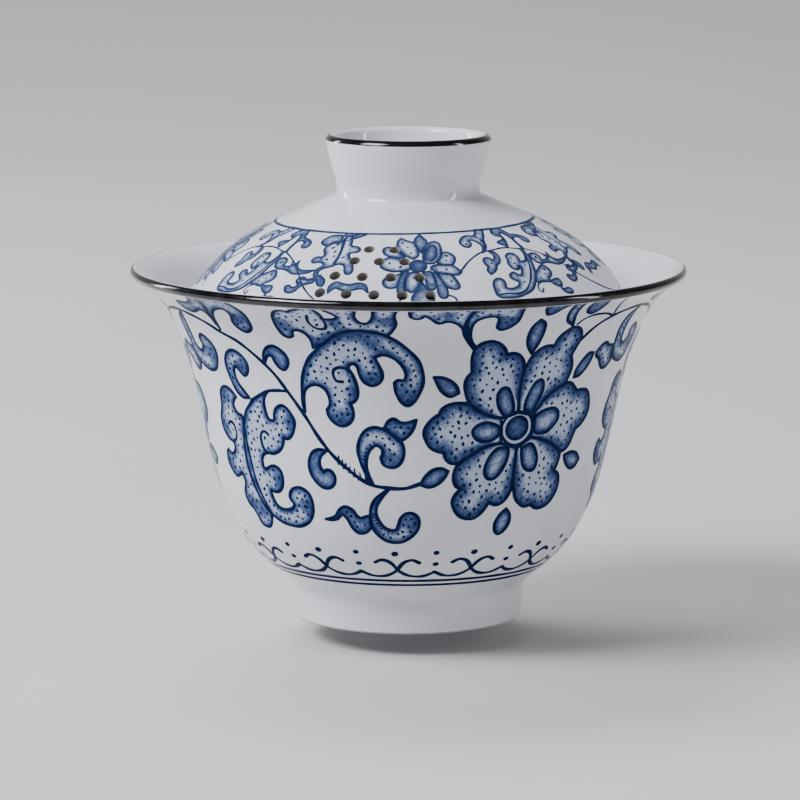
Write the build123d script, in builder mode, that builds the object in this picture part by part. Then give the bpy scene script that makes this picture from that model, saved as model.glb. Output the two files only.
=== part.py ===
"""A porcelain gaiwan: a flared tea bowl on a foot ring, and a domed lid with a ring knob and drain holes.

The frame has +Z up and its origin on the table, in the middle of the foot ring. Every piece is turned about Z.
Profiles are drawn on the XZ plane, as radius and height in millimetres.
"""

import os
from math import cos, degrees, radians, sin

from build123d import *

# ---- Foot ring ----
FOOT_HEIGHT = 5.0
FOOT_OUTER = 20.9
FOOT_INNER = 18.1
FOOT_TAPER = 0.4
FOOT_EDGE = 0.45

# ---- Bowl: the outside of its wall, from the foot to the flared lip ----
BELLY = [
    (22.0, 7.3),
    (24.1, 9.1),
    (27.2, 11.9),
    (30.5, 16.1),
    (33.5, 22.3),
    (35.9, 30.6),
    (37.6, 38.6),
    (39.4, 46.2),
    (41.9, 53.0),
    (44.6, 58.05),
    (46.9, 60.45),
    (49.5, 62.0),
]
BOWL_WALL = 2.0
BOWL_LIP = 0.85
FLOOR = 3.4
FLOOR_RADIUS = 14.0
FLOOR_RISE = 0.35
INSIDE_AT = [0.95, 0.85, 0.7, 0.55, 0.4, 0.25, 0.12]  # shares of the belly's length

# ---- Lid: the outside of its dome, from its edge to its crown ----
CROWN = 78.9
DOME = [
    (40.85, 57.3),
    (38.6, 60.0),
    (35.2, 63.9),
    (30.7, 67.9),
    (24.4, 71.55),
    (18.4, 74.25),
    (13.0, 76.5),
    (6.5, 78.3),
    (0, CROWN),
]
LID_WALL = 2.0
UNDER_AT = [0.15, 0.35, 0.55, 0.7, 0.85]  # shares of the dome's length

# ---- Knob: the outside of its ring, from inside the dome's wall to its lip ----
FLARE = [
    (13.9, 75.6),
    (12.85, 77.6),
    (13.35, 80.0),
    (14.2, 83.2),
    (14.85, 85.95),
]
KNOB_LIP = 1.1
KNOB_BORE = 11.1

# ---- Metal lines round the two lips: thickness, and where they start and end on each lip's round ----
BAND = 0.1
BOWL_BAND = (-35, 78)  # degrees above the outward direction
KNOB_BAND = (-4, 84)

# ---- Drain holes: a fan of four rows on one side of the lid ----
HOLE_RADIUS = 1.0
HOLE_ROWS = [(27.8, 2, 4.5), (30.5, 3, 4.4), (33.4, 4, 5.0), (36.1, 5, 4.9)]  # radius, count, pitch
HOLES_FACE = -99.6  # degrees about Z from +X


def left_of(line, at, distance):
    """The point that far to the left of a line, at a share of its length."""
    along = line % at
    return line @ at + Vector(-along.Y, along.X) * distance


def round_lip(outside, radius):
    """Add the half round that closes a wall at the end of its outside line."""
    centre = left_of(outside, 1, radius)
    return ThreePointArc(outside @ 1, centre + (outside % 1) * radius, left_of(outside, 1, 2 * radius))


def band_profile(centre, lip_radius, ends):
    """Add the section of a metal line: a thin sector that lies on a lip's round, between two angles."""

    def at_angle(angle, radius):
        return centre + Vector(cos(radians(angle)), sin(radians(angle))) * radius

    low, high = ends
    middle = (low + high) / 2
    inner = ThreePointArc(*[at_angle(angle, lip_radius) for angle in (low, middle, high)])
    outer = ThreePointArc(*[at_angle(angle, lip_radius + BAND) for angle in (high, middle, low)])
    Line(inner @ 1, outer @ 0)
    Line(outer @ 1, inner @ 0)


# The foot ring: a low, slightly tapered ring under the bowl, with eased edges where it stands.
with BuildPart() as foot_ring:
    with BuildSketch(Plane.XZ):
        with BuildLine():
            Polyline(
                (FOOT_INNER, FOOT_HEIGHT),
                (FOOT_OUTER, FOOT_HEIGHT),
                (FOOT_OUTER - FOOT_TAPER, 0),
                (FOOT_INNER + FOOT_TAPER, 0),
                close=True,
            )
        make_face()
    revolve(axis=Axis.Z)
    fillet(foot_ring.faces().sort_by(Axis.Z)[0].edges(), radius=FOOT_EDGE)

# The bowl: one turned wall from the foot ring's top to the lip, with the floor inside it.
with BuildPart() as bowl:
    with BuildSketch(Plane.XZ):
        with BuildLine():
            belly = Spline(*BELLY)
            neck = TangentArc(belly @ 0, (FOOT_OUTER, FOOT_HEIGHT), tangent=-(belly % 0))
            bowl_lip = round_lip(belly, BOWL_LIP)
            inside = Spline(
                bowl_lip @ 1,
                *[left_of(belly, at, BOWL_WALL) for at in INSIDE_AT],
                (FLOOR_RADIUS, FOOT_HEIGHT + FLOOR + FLOOR_RISE),
                (0, FOOT_HEIGHT + FLOOR),
            )
            Polyline(inside @ 1, (0, FOOT_HEIGHT), neck @ 1)
        make_face()
    revolve(axis=Axis.Z)

# The metal line on the bowl's lip.
with BuildPart() as bowl_rim_band:
    with BuildSketch(Plane.XZ):
        with BuildLine():
            band_profile(left_of(belly, 1, BOWL_LIP), BOWL_LIP, BOWL_BAND)
        make_face()
    revolve(axis=Axis.Z)

# The lid: a thin dome with a round edge that rests inside the bowl's mouth, and drain holes through one side.
with BuildPart() as lid:
    with BuildSketch(Plane.XZ):
        with BuildLine():
            dome = Spline(*DOME)
            edge_middle = left_of(dome, 0, LID_WALL / 2) - (dome % 0) * (LID_WALL / 2)
            edge = ThreePointArc(left_of(dome, 0, LID_WALL), edge_middle, dome @ 0)
            under = Spline(
                edge @ 0,
                *[left_of(dome, at, LID_WALL) for at in UNDER_AT],
                (0, CROWN - LID_WALL),
            )
            Line(under @ 1, dome @ 1)
        make_face()
    revolve(axis=Axis.Z)
    for row_radius, count, pitch in HOLE_ROWS:
        place = min((at / 200 for at in range(201)), key=lambda at: abs((dome @ at).X - row_radius))
        centre = dome @ place
        along = dome % place
        drill = Plane(origin=(centre.X, 0, centre.Y), z_dir=(along.Y, 0, -along.X))
        step = degrees(pitch / row_radius)
        for hole in range(count):
            turn = Rot(0, 0, HOLES_FACE + step * (hole - (count - 1) / 2))
            with Locations(turn * drill.location):
                Cylinder(HOLE_RADIUS, 3 * LID_WALL, mode=Mode.SUBTRACT)

# The knob: a flared ring luted to the top of the dome, open above. Its foot is cut to the dome's shape.
with BuildPart() as lid_knob:
    with BuildSketch(Plane.XZ):
        with BuildLine():
            flare = Spline(*FLARE)
            knob_lip = round_lip(flare, KNOB_LIP)
            Polyline(knob_lip @ 1, (KNOB_BORE, FLARE[0][1]), flare @ 0)
        make_face()
    revolve(axis=Axis.Z)
    add(lid.part, mode=Mode.SUBTRACT)

# The metal line on the knob's lip.
with BuildPart() as knob_rim_band:
    with BuildSketch(Plane.XZ):
        with BuildLine():
            band_profile(left_of(flare, 1, KNOB_LIP), KNOB_LIP, KNOB_BAND)
        make_face()
    revolve(axis=Axis.Z)

pieces = {
    "foot_ring": foot_ring,
    "bowl": bowl,
    "bowl_rim_band": bowl_rim_band,
    "lid": lid,
    "lid_knob": lid_knob,
    "knob_rim_band": knob_rim_band,
}
os.makedirs("parts", exist_ok=True)
for name, piece in pieces.items():
    piece.part.label = name
    export_step(piece.part, f"parts/{name}.step")
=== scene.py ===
"""The looks of a porcelain gaiwan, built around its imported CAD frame.

Every turned piece gets a finely turned mesh. The cobalt painting is a thin inlay of glaze on those walls.
It is drawn on an unrolled wall, as lines, leaves and dots in (degrees round from the front, millimetres up
the wall), cut into triangles that don't overlap, and laid on the wall. Lengths are millimetres until a mesh
is made.
"""

import math
import random
from collections import namedtuple

import bmesh
import bpy
import numpy as np
from mathutils import Matrix, Vector
from mathutils.geometry import delaunay_2d_cdt


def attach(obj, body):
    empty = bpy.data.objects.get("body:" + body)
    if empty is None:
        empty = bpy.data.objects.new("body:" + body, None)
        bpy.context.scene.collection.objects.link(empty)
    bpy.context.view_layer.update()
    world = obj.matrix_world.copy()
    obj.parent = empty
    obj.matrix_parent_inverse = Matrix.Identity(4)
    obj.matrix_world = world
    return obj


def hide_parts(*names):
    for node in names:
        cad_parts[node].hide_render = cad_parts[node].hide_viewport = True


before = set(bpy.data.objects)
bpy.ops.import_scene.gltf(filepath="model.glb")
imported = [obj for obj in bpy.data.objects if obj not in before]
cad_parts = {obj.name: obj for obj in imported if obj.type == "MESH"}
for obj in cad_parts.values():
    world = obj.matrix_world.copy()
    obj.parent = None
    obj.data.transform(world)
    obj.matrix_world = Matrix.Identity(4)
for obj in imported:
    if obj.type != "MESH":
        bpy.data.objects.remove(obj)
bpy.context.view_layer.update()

MM = 0.001
TURNS = 360  # facets round a turned piece
SHARP = math.radians(40)
FINE = 2001  # points on a wall's line where places on it are measured
SPLINE_POINTS = 4000  # points where a spline's length is measured

# ---- The CAD's turned profiles (radius, height), repeated from the design ----
FOOT_HEIGHT = 5.0
FOOT_OUTER = 20.9
FOOT_INNER = 18.1
FOOT_TAPER = 0.4
FOOT_EDGE = 0.45
FOOT_BARE = 0.35  # up to here the foot is unglazed
BELLY = [
    (22.0, 7.3), (24.1, 9.1), (27.2, 11.9), (30.5, 16.1), (33.5, 22.3), (35.9, 30.6),
    (37.6, 38.6), (39.4, 46.2), (41.9, 53.0), (44.6, 58.05), (46.9, 60.45), (49.5, 62.0),
]
BOWL_WALL = 2.0
BOWL_LIP = 0.85
FLOOR = (14.0, 8.75)
FLOOR_MIDDLE = (0.0, 8.4)
INSIDE_AT = [0.95, 0.85, 0.7, 0.55, 0.4, 0.25, 0.12]
DOME = [
    (40.85, 57.3), (38.6, 60.0), (35.2, 63.9), (30.7, 67.9), (24.4, 71.55),
    (18.4, 74.25), (13.0, 76.5), (6.5, 78.3), (0.0, 78.9),
]
LID_WALL = 2.0
UNDER_AT = [0.15, 0.35, 0.55, 0.7, 0.85]
FLARE = [(13.9, 75.6), (12.85, 77.6), (13.35, 80.0), (14.2, 83.2), (14.85, 85.95)]
KNOB_LIP = 1.1
KNOB_BORE = 11.1
BORE_FLOOR = 1.6  # the bore's floor over the knob's foot
BAND = 0.02  # the real lustre is thinner than the CAD's band
# Where the bands start and end on the lips' rounds, in degrees over the outward direction.
BOWL_BAND = (-60, 74)
KNOB_BAND = (10, 80)
LIP_POINTS = 24
BAND_POINTS = 22
HOLE_RADIUS = 1.0
HOLE_ROWS = [(27.8, 2, 4.5), (30.5, 3, 4.4), (33.4, 4, 5.0), (36.1, 5, 4.9)]  # radius, count, pitch
HOLES_FACE = -99.6


# ---- Lines through points ----
def cubic_line(points, count):
    """A smooth cubic spline through points, as that many evenly spaced points."""
    points = np.array(points, float)
    knots = np.concatenate([[0], np.cumsum(np.hypot(*np.diff(points, axis=0).T))])
    gaps = np.diff(knots)
    size = len(points)
    system = np.eye(size)
    right = np.zeros((size, 2))
    for i in range(1, size - 1):
        system[i, i - 1 : i + 2] = gaps[i - 1], 2 * (gaps[i - 1] + gaps[i]), gaps[i]
        slopes = np.diff(points[i - 1 : i + 2], axis=0) / gaps[i - 1 : i + 1, None]
        right[i] = 6 * (slopes[1] - slopes[0])
    # The third derivative is continuous at the second knot from each end.
    system[0, :3] = gaps[1], -gaps[0] - gaps[1], gaps[0]
    system[-1, -3:] = gaps[-1], -gaps[-2] - gaps[-1], gaps[-2]
    bends = np.linalg.solve(system, right)

    at = np.linspace(0, knots[-1], SPLINE_POINTS)
    i = np.clip(np.searchsorted(knots, at) - 1, 0, size - 2)
    gap = gaps[i][:, None]
    high = ((at - knots[i]) / gaps[i])[:, None]
    low = 1 - high
    curve = (low**3 - low) * bends[i] + (high**3 - high) * bends[i + 1]
    fine = low * points[i] + high * points[i + 1] + curve * gap**2 / 6
    length = np.concatenate([[0], np.cumsum(np.hypot(*np.diff(fine, axis=0).T))])
    even = np.linspace(0, length[-1], count)
    return np.stack([np.interp(even, length, fine[:, k]) for k in (0, 1)], axis=1)


def rounded_line(points, step):
    """A curve through given points that never overshoots much, with a point about every step."""
    points = np.array(points, float)
    if len(points) == 2:
        count = max(1, math.ceil(np.hypot(*(points[1] - points[0])) / step))
        return points[0] + np.linspace(0, 1, count + 1)[:, None] * (points[1] - points[0])
    p = np.concatenate([[2 * points[0] - points[1]], points, [2 * points[-1] - points[-2]]])
    knots = np.concatenate([[0], np.cumsum(np.hypot(*np.diff(p, axis=0).T) ** 0.5 + 1e-6)])

    def between(low, high, first, last, at):
        return ((knots[last] - at) * low + (at - knots[first]) * high) / (knots[last] - knots[first])

    line = []
    for i in range(1, len(p) - 2):
        count = max(1, math.ceil(np.hypot(*(p[i + 1] - p[i])) / step))
        for at in knots[i] + (knots[i + 1] - knots[i]) * np.arange(count) / count:
            q = [between(p[j], p[j + 1], j, j + 1, at) for j in (i - 1, i, i + 1)]
            r = [between(q[k], q[k + 1], i - 1 + k, i + 1 + k, at) for k in (0, 1)]
            line.append(between(r[0], r[1], i, i + 1, at))
    line.append(p[-2])
    return np.array(line)


def left_side(line, at, distance):
    """The point that far to the left of an even line, at a share of its length."""
    i = min(int(at * (len(line) - 1)), len(line) - 2)
    step = line[i + 1] - line[i]
    along = step / np.hypot(*step)
    return line[i] + step * (at * (len(line) - 1) - i) + np.array([-along[1], along[0]]) * distance


def arc(centre, radius, start, end, count):
    """Points on a round, from one angle to another in degrees, both ends included."""
    angles = np.radians(np.linspace(start, end, count))
    return np.array(centre) + radius * np.stack([np.cos(angles), np.sin(angles)], axis=1)


def end_angle(line):
    """The direction in which a line ends, in degrees."""
    along = line[-1] - line[-2]
    return math.degrees(math.atan2(along[1], along[0]))


# ---- The unrolled wall of a turned piece ----
class Wall:
    """A turned outside wall: where (angle, way up the wall) is in space, and which way it faces there."""

    def __init__(self, points):
        self.line = cubic_line(points, FINE)
        length = float(np.hypot(*np.diff(self.line, axis=0).T).sum())
        self.up = np.linspace(0, length, FINE)
        along = np.gradient(self.line, axis=0)
        self.along = along / np.hypot(*along.T)[:, None]

    def radius(self, s):
        return np.interp(s, self.up, self.line[:, 0])

    def place(self, angles, s, lift=0.0):
        """Points (mm) and normals of angles (degrees from the front, to the right) and ways up the wall."""
        turn = np.radians(angles)
        r, z = (np.interp(s, self.up, self.line[:, k]) for k in (0, 1))
        tr, tz = (np.interp(s, self.up, self.along[:, k]) for k in (0, 1))
        r = r + tz * lift
        z = z - tr * lift
        points = np.stack([r * np.sin(turn), -r * np.cos(turn), z], axis=1)
        normals = np.stack([tz * np.sin(turn), -tz * np.cos(turn), -tr], axis=1)
        return points, normals


BOWL_OUTSIDE = Wall(BELLY)
LID_OUTSIDE = Wall(DOME)


# ---- Making pieces ----
def finish_piece(name, mesh, materials, body, node=None):
    """Link a mesh as a piece that rides on a body, give it its materials, and hide the CAD node it stands
    for.
    """
    for material in materials:
        mesh.materials.append(material)
    piece = bpy.data.objects.new(name, mesh)
    bpy.context.scene.collection.objects.link(piece)
    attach(piece, body)
    if node:
        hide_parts(node)
    return piece


def turned_mesh(name, profile):
    """A closed profile turned about Z, in metres. Points on the axis become one vertex."""
    mesh = bmesh.new()
    turns = [2 * math.pi * i / TURNS for i in range(TURNS)]
    rings = []
    for r, z in profile:
        if r < 1e-6:
            rings.append([mesh.verts.new((0, 0, z * MM))] * TURNS)
        else:
            ring = [(r * math.sin(t) * MM, -r * math.cos(t) * MM, z * MM) for t in turns]
            rings.append([mesh.verts.new(place) for place in ring])
    for low, high in zip(rings, rings[1:] + rings[:1]):
        for i in range(TURNS):
            corners = []
            for vertex in (low[i], low[(i + 1) % TURNS], high[(i + 1) % TURNS], high[i]):
                if vertex not in corners:
                    corners.append(vertex)
            if len(corners) > 2:
                mesh.faces.new(corners)
    bmesh.ops.recalc_face_normals(mesh, faces=mesh.faces)
    data = bpy.data.meshes.new(name)
    mesh.to_mesh(data)
    mesh.free()
    data.shade_smooth()
    data.set_sharp_from_angle(angle=SHARP)
    return data


def lip_points(line, radius):
    """The half round that closes a wall at the end of its outside line."""
    angle = end_angle(line)
    return arc(left_side(line, 1, radius), radius, angle - 90, angle + 90, LIP_POINTS)[1:]


def bowl_profile():
    belly = cubic_line(BELLY, 110)
    # The neck is a round that leaves the belly smoothly and ends at the foot ring's top.
    down = belly[0] - belly[1]
    down /= np.hypot(*down)
    foot_top = np.array([FOOT_OUTER, FOOT_HEIGHT])
    reach = foot_top - belly[0]
    side = np.array([-down[1], down[0]])
    radius = reach @ reach / (2 * reach @ side)
    centre = belly[0] + side * radius
    start, end = (math.degrees(math.atan2(*(p - centre)[::-1])) for p in (foot_top, belly[0]))
    neck = arc(centre, abs(radius), start, end, 9)[:-1]
    inside = [left_side(belly, 1, 2 * BOWL_LIP)]
    inside += [left_side(belly, at, BOWL_WALL) for at in INSIDE_AT]
    inside = cubic_line(inside + [FLOOR, FLOOR_MIDDLE], 100)
    base = [(0.0, FOOT_HEIGHT), (FOOT_INNER, FOOT_HEIGHT)]
    return np.concatenate([base, neck, belly, lip_points(belly, BOWL_LIP), inside[1:]])


def foot_profile():
    """The foot ring's section, with eased edges where it stands."""
    e = FOOT_EDGE
    outer = arc((FOOT_OUTER - FOOT_TAPER - e, e), e, -90, 0, 7)
    inner = arc((FOOT_INNER + FOOT_TAPER + e, e), e, 180, 270, 7)
    heights = np.linspace(e, FOOT_HEIGHT, 10)[1:]
    narrower = FOOT_TAPER * (1 - heights / FOOT_HEIGHT)
    outside = np.stack([FOOT_OUTER - narrower, heights], axis=1)
    within = np.stack([FOOT_INNER + narrower, heights], axis=1)[::-1]
    return np.concatenate([outer, outside, within, inner])


def lid_profile():
    dome = cubic_line(DOME, 90)
    inner_edge = left_side(dome, 0, LID_WALL)
    angle = end_angle(dome[:2])
    edge = arc((dome[0] + inner_edge) / 2, LID_WALL / 2, angle + 90, angle + 270, 17)
    under = [inner_edge] + [left_side(dome, at, LID_WALL) for at in UNDER_AT]
    under = cubic_line(under + [(0.0, DOME[-1][1] - LID_WALL)], 80)
    return np.concatenate([dome, under[::-1], edge[1:-1]])


def knob_profile():
    flare = cubic_line(FLARE, 36)
    lip = lip_points(flare, KNOB_LIP)
    shares = np.linspace(0, 1, 14)[1:, None]
    bore = lip[-1] + shares * (np.array([KNOB_BORE, FLARE[0][1] + BORE_FLOOR]) - lip[-1])
    return np.concatenate([flare, lip, bore])


def band_profile(points, lip_radius, ends):
    """The metal line's section: a thin sector on the lip's round at the end of an outside line."""
    centre = left_side(cubic_line(points, FINE), 1, lip_radius)
    low, high = ends
    outer = arc(centre, lip_radius + BAND, low, high, BAND_POINTS)
    return np.concatenate([outer, arc(centre, lip_radius, high, low, BAND_POINTS)])


# ---- Materials ----
PRINT_IOR = 1.08  # lower than the glaze, so the print stays dark where the wall turns away
MOTTLE = 0.75  # how much the printing's unevenness adds to a wash's paleness


def grey(value):
    return (value, value, value)


class Surface:
    """A node material: its Principled shader's inputs, and the textures that feed them."""

    def __init__(self, name):
        self.material = bpy.data.materials.new(name)
        self.material.use_nodes = True
        self.nodes = self.material.node_tree.nodes
        self.links = self.material.node_tree.links
        self.inputs = self.nodes["Principled BSDF"].inputs

    def noise(self, scale, detail=3.0, rough=0.5):
        """A noise texture in object space, scale in waves per metre."""
        place = self.nodes.new("ShaderNodeTexCoord")
        texture = self.nodes.new("ShaderNodeTexNoise")
        texture.inputs["Scale"].default_value = scale
        texture.inputs["Detail"].default_value = detail
        texture.inputs["Roughness"].default_value = rough
        self.links.new(place.outputs["Object"], texture.inputs["Vector"])
        return texture.outputs["Fac"]

    def ramp(self, value, stops):
        """A colour ramp over a value: stops are (place, colour)."""
        node = self.nodes.new("ShaderNodeValToRGB")
        elements = node.color_ramp.elements
        while len(elements) < len(stops):
            elements.new(0.5)
        for element, (place, colour) in zip(elements, stops):
            element.position = place
            element.color = (*colour, 1)
        self.links.new(value, node.inputs["Fac"])
        return node.outputs["Color"]

    def feed(self, name, value):
        self.links.new(value, self.inputs[name])

    def bump(self, height, strength, distance):
        node = self.nodes.new("ShaderNodeBump")
        node.inputs["Strength"].default_value = strength
        node.inputs["Distance"].default_value = distance
        self.links.new(height, node.inputs["Height"])
        self.feed("Normal", node.outputs["Normal"])

    def glaze(self, ior=1.5):
        """The clear glaze that covers porcelain and painting alike: glossy, with a faint ripple."""
        self.inputs["IOR"].default_value = ior
        self.feed("Roughness", self.ramp(self.noise(260, 2), [(0.3, grey(0.05)), (0.75, grey(0.12))]))
        self.bump(self.noise(140, 2, 0.4), 0.12, 0.0004)


def porcelain_material():
    """White porcelain under the glaze: faint clouds and a scatter of tiny greyish specks."""
    surface = Surface("porcelain_glaze")
    clouds = surface.ramp(surface.noise(45, 4), [(0.3, (0.69, 0.695, 0.745)), (0.7, (0.75, 0.755, 0.80))])
    specks = surface.ramp(surface.noise(2600, 1), [(0.2, grey(0.80)), (0.32, grey(1.0))])
    both = surface.nodes.new("ShaderNodeMix")
    both.data_type = "RGBA"
    both.blend_type = "MULTIPLY"
    both.inputs[0].default_value = 1.0
    surface.links.new(clouds, both.inputs[6])
    surface.links.new(specks, both.inputs[7])
    surface.feed("Base Color", both.outputs[2])
    surface.glaze()
    return surface.material


def biscuit_material():
    """Bare fired clay, where the glaze was wiped off or doesn't reach: matt, greyish, fine grained."""
    surface = Surface("biscuit")
    grain = [(0.3, (0.30, 0.29, 0.26)), (0.7, (0.44, 0.43, 0.39))]
    surface.feed("Base Color", surface.ramp(surface.noise(1500, 4), grain))
    surface.feed("Roughness", surface.ramp(surface.noise(900, 2), [(0.3, grey(0.6)), (0.7, grey(0.8))]))
    surface.bump(surface.noise(3000, 3), 0.3, 0.0001)
    return surface.material


def line_material(name, thick, thin):
    """Cobalt lines, a little paler where the print was thin."""
    surface = Surface(name)
    surface.feed("Base Color", surface.ramp(surface.noise(700, 3), [(0.35, thick), (0.8, thin)]))
    surface.glaze(PRINT_IOR)
    return surface.material


def wash_material(name, stops):
    """Cobalt wash: dense at the outline, thin in the middle, mottled by the printing."""
    surface = Surface(name)
    depth = surface.nodes.new("ShaderNodeAttribute")
    depth.attribute_name = "paleness"
    tone = surface.nodes.new("ShaderNodeMath")
    tone.operation = "MULTIPLY_ADD"
    tone.inputs[1].default_value = MOTTLE
    surface.links.new(surface.noise(1500, 4, 0.7), tone.inputs[0])
    surface.links.new(depth.outputs["Fac"], tone.inputs[2])
    surface.feed("Base Color", surface.ramp(tone.outputs[0], stops))
    surface.glaze(PRINT_IOR)
    return surface.material


def lustre_material():
    """The dark metallic line on the lips: polished, worn a little paler here and there."""
    surface = Surface("dark_lustre")
    tint = [(0.35, grey(0.012)), (0.8, (0.05, 0.05, 0.055))]
    surface.feed("Base Color", surface.ramp(surface.noise(300, 4), tint))
    surface.feed("Roughness", surface.ramp(surface.noise(800, 3), [(0.3, grey(0.10)), (0.7, grey(0.26))]))
    surface.inputs["Metallic"].default_value = 0.85
    surface.inputs["Coat Weight"].default_value = 0.6
    surface.inputs["Coat Roughness"].default_value = 0.04
    return surface.material


PORCELAIN = porcelain_material()
BISCUIT = biscuit_material()
LINE = line_material("cobalt_line", (0.003, 0.008, 0.04), (0.009, 0.020, 0.085))
LID_LINE = line_material("cobalt_line_fine", (0.014, 0.026, 0.075), (0.038, 0.062, 0.15))
WASH = wash_material(
    "cobalt_wash",
    [
        (0.30, (0.007, 0.015, 0.057)),
        (0.50, (0.028, 0.050, 0.145)),
        (0.70, (0.088, 0.135, 0.28)),
        (0.98, (0.45, 0.51, 0.66)),
    ],
)
LID_WASH = wash_material(
    "cobalt_wash_fine",
    [
        (0.30, (0.020, 0.034, 0.09)),
        (0.50, (0.050, 0.078, 0.165)),
        (0.70, (0.13, 0.17, 0.29)),
        (0.98, (0.48, 0.53, 0.65)),
    ],
)
LUSTRE = lustre_material()


# ---- Painting on an unrolled wall ----
Stroke = namedtuple("Stroke", "name width points")
# A closed outline: arcs that meet in corners. Each starts where the one before it ended.
Leaf = namedtuple("Leaf", "name wash arcs")
# How an outline is filled: mm from its edge to its palest, paleness at the edge and there, mm between dots
# (0 for none), and a place near which the edge's shading gets narrow.
Wash = namedtuple("Wash", "depth edge paleness stipple focus")

FLOWER_EYE = (29.9, 36.7)
FOCUS_RADIUS = 4.0  # mm from the focus where a petal's edge shading starts
FOCUS_REACH = 6.5  # mm further out where it is full
FOCUS_LEAST = 0.12
PETAL = Wash(3.0, 0.02, 0.65, 1.1, FLOWER_EYE)
LENS = Wash(1.3, 0.05, 0.52, 0, None)
LEAF = Wash(1.15, 0.10, 0.57, 1.05, None)
TOP_LEAF = Wash(0.9, 0.14, 0.70, 1.1, None)
BUD = Wash(1.3, 0.05, 0.50, 0, None)
DARK = Wash(1.8, 0.05, 0.50, 1.0, None)
EYE = Wash(2.0, 0, 0.36, 0, None)
PALE = Wash(0.05, 0.6, 0.68, 0, None)
LIDPETAL = Wash(1.0, 0.14, 0.76, 1.2, None)
LIDLEAF = Wash(0.9, 0.16, 0.64, 1.1, None)
LIDDARK = Wash(1.2, 0.10, 0.50, 0, None)
EDGE_WIDTH = 0.2  # mm in from an outline before its wash gets paler
EDGE_POWER = 0.8
SHADE_LEAST = 0.35  # how much of its paleness the middle of a shaded spot keeps
OUTLINE = 0.62
STEP = 0.5  # mm between points along a line
WAVER = 0.13  # how much of its width a line gains and loses
WAVER_TURN = 0.55  # radians of that wave for each point along the line
END_SIDES = 10  # of a line's round ends
RING_POINTS = 14  # round a drawn circle, for each mm of its radius
CELL = 0.75  # mm between the points inside a wash
ROW = 0.866  # rows of those points are closer than their columns
FILL_CLEAR = 0.45  # mm from those points to a drawn line
DOT_SIDES = 7
DOT_RADIUS = (0.20, 0.31)
DOT_STRETCH = (1.1, 1.6)
DOT_TURN = (0.7, 2.4)
DOT_CLEAR = 0.85  # mm from a dot to a drawn line
DOT_TRIES = 9  # for each dot that there could be room for
DOT_MEMORY = 80  # a dot keeps its distance from this many before it
TICK_WIDTH = 0.3
TICK_REACH = (0.7, 1.15)
LINE_LIFT = 0.030
WASH_LIFT = 0.022
SINK = 0.020  # how far the paint's underside lies inside the wall
CUT_MERGE = 1e-5
SLIVER = 1e-6  # twice the area of a triangle too small to keep
HOLE_SIDES = 36
BLOCK = 500  # points whose distances are measured at a time


def inside(points, outline):
    """Which points lie inside a closed outline."""
    x, y = points[:, 0, None], points[:, 1, None]
    x0, y0 = outline.T
    x1, y1 = np.roll(outline, -1, axis=0).T
    spans = (y0 > y) != (y1 > y)
    crossing = x0 + (y - y0) * (x1 - x0) / np.where(y1 == y0, 1e-9, y1 - y0)
    return (spans & (x < crossing)).sum(axis=1) % 2 == 1


def nearest(points, others):
    """Each point's distance to the nearest of the others."""
    gap = np.empty(len(points))
    for i in range(0, len(points), BLOCK):
        block = points[i : i + BLOCK, None, :] - others[None, :, :]
        gap[i : i + BLOCK] = np.sqrt((block**2).sum(axis=2).min(axis=1))
    return gap


Cut = namedtuple("Cut", "flat_radius places lines washes paleness")  # a drawing cut into triangles


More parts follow.
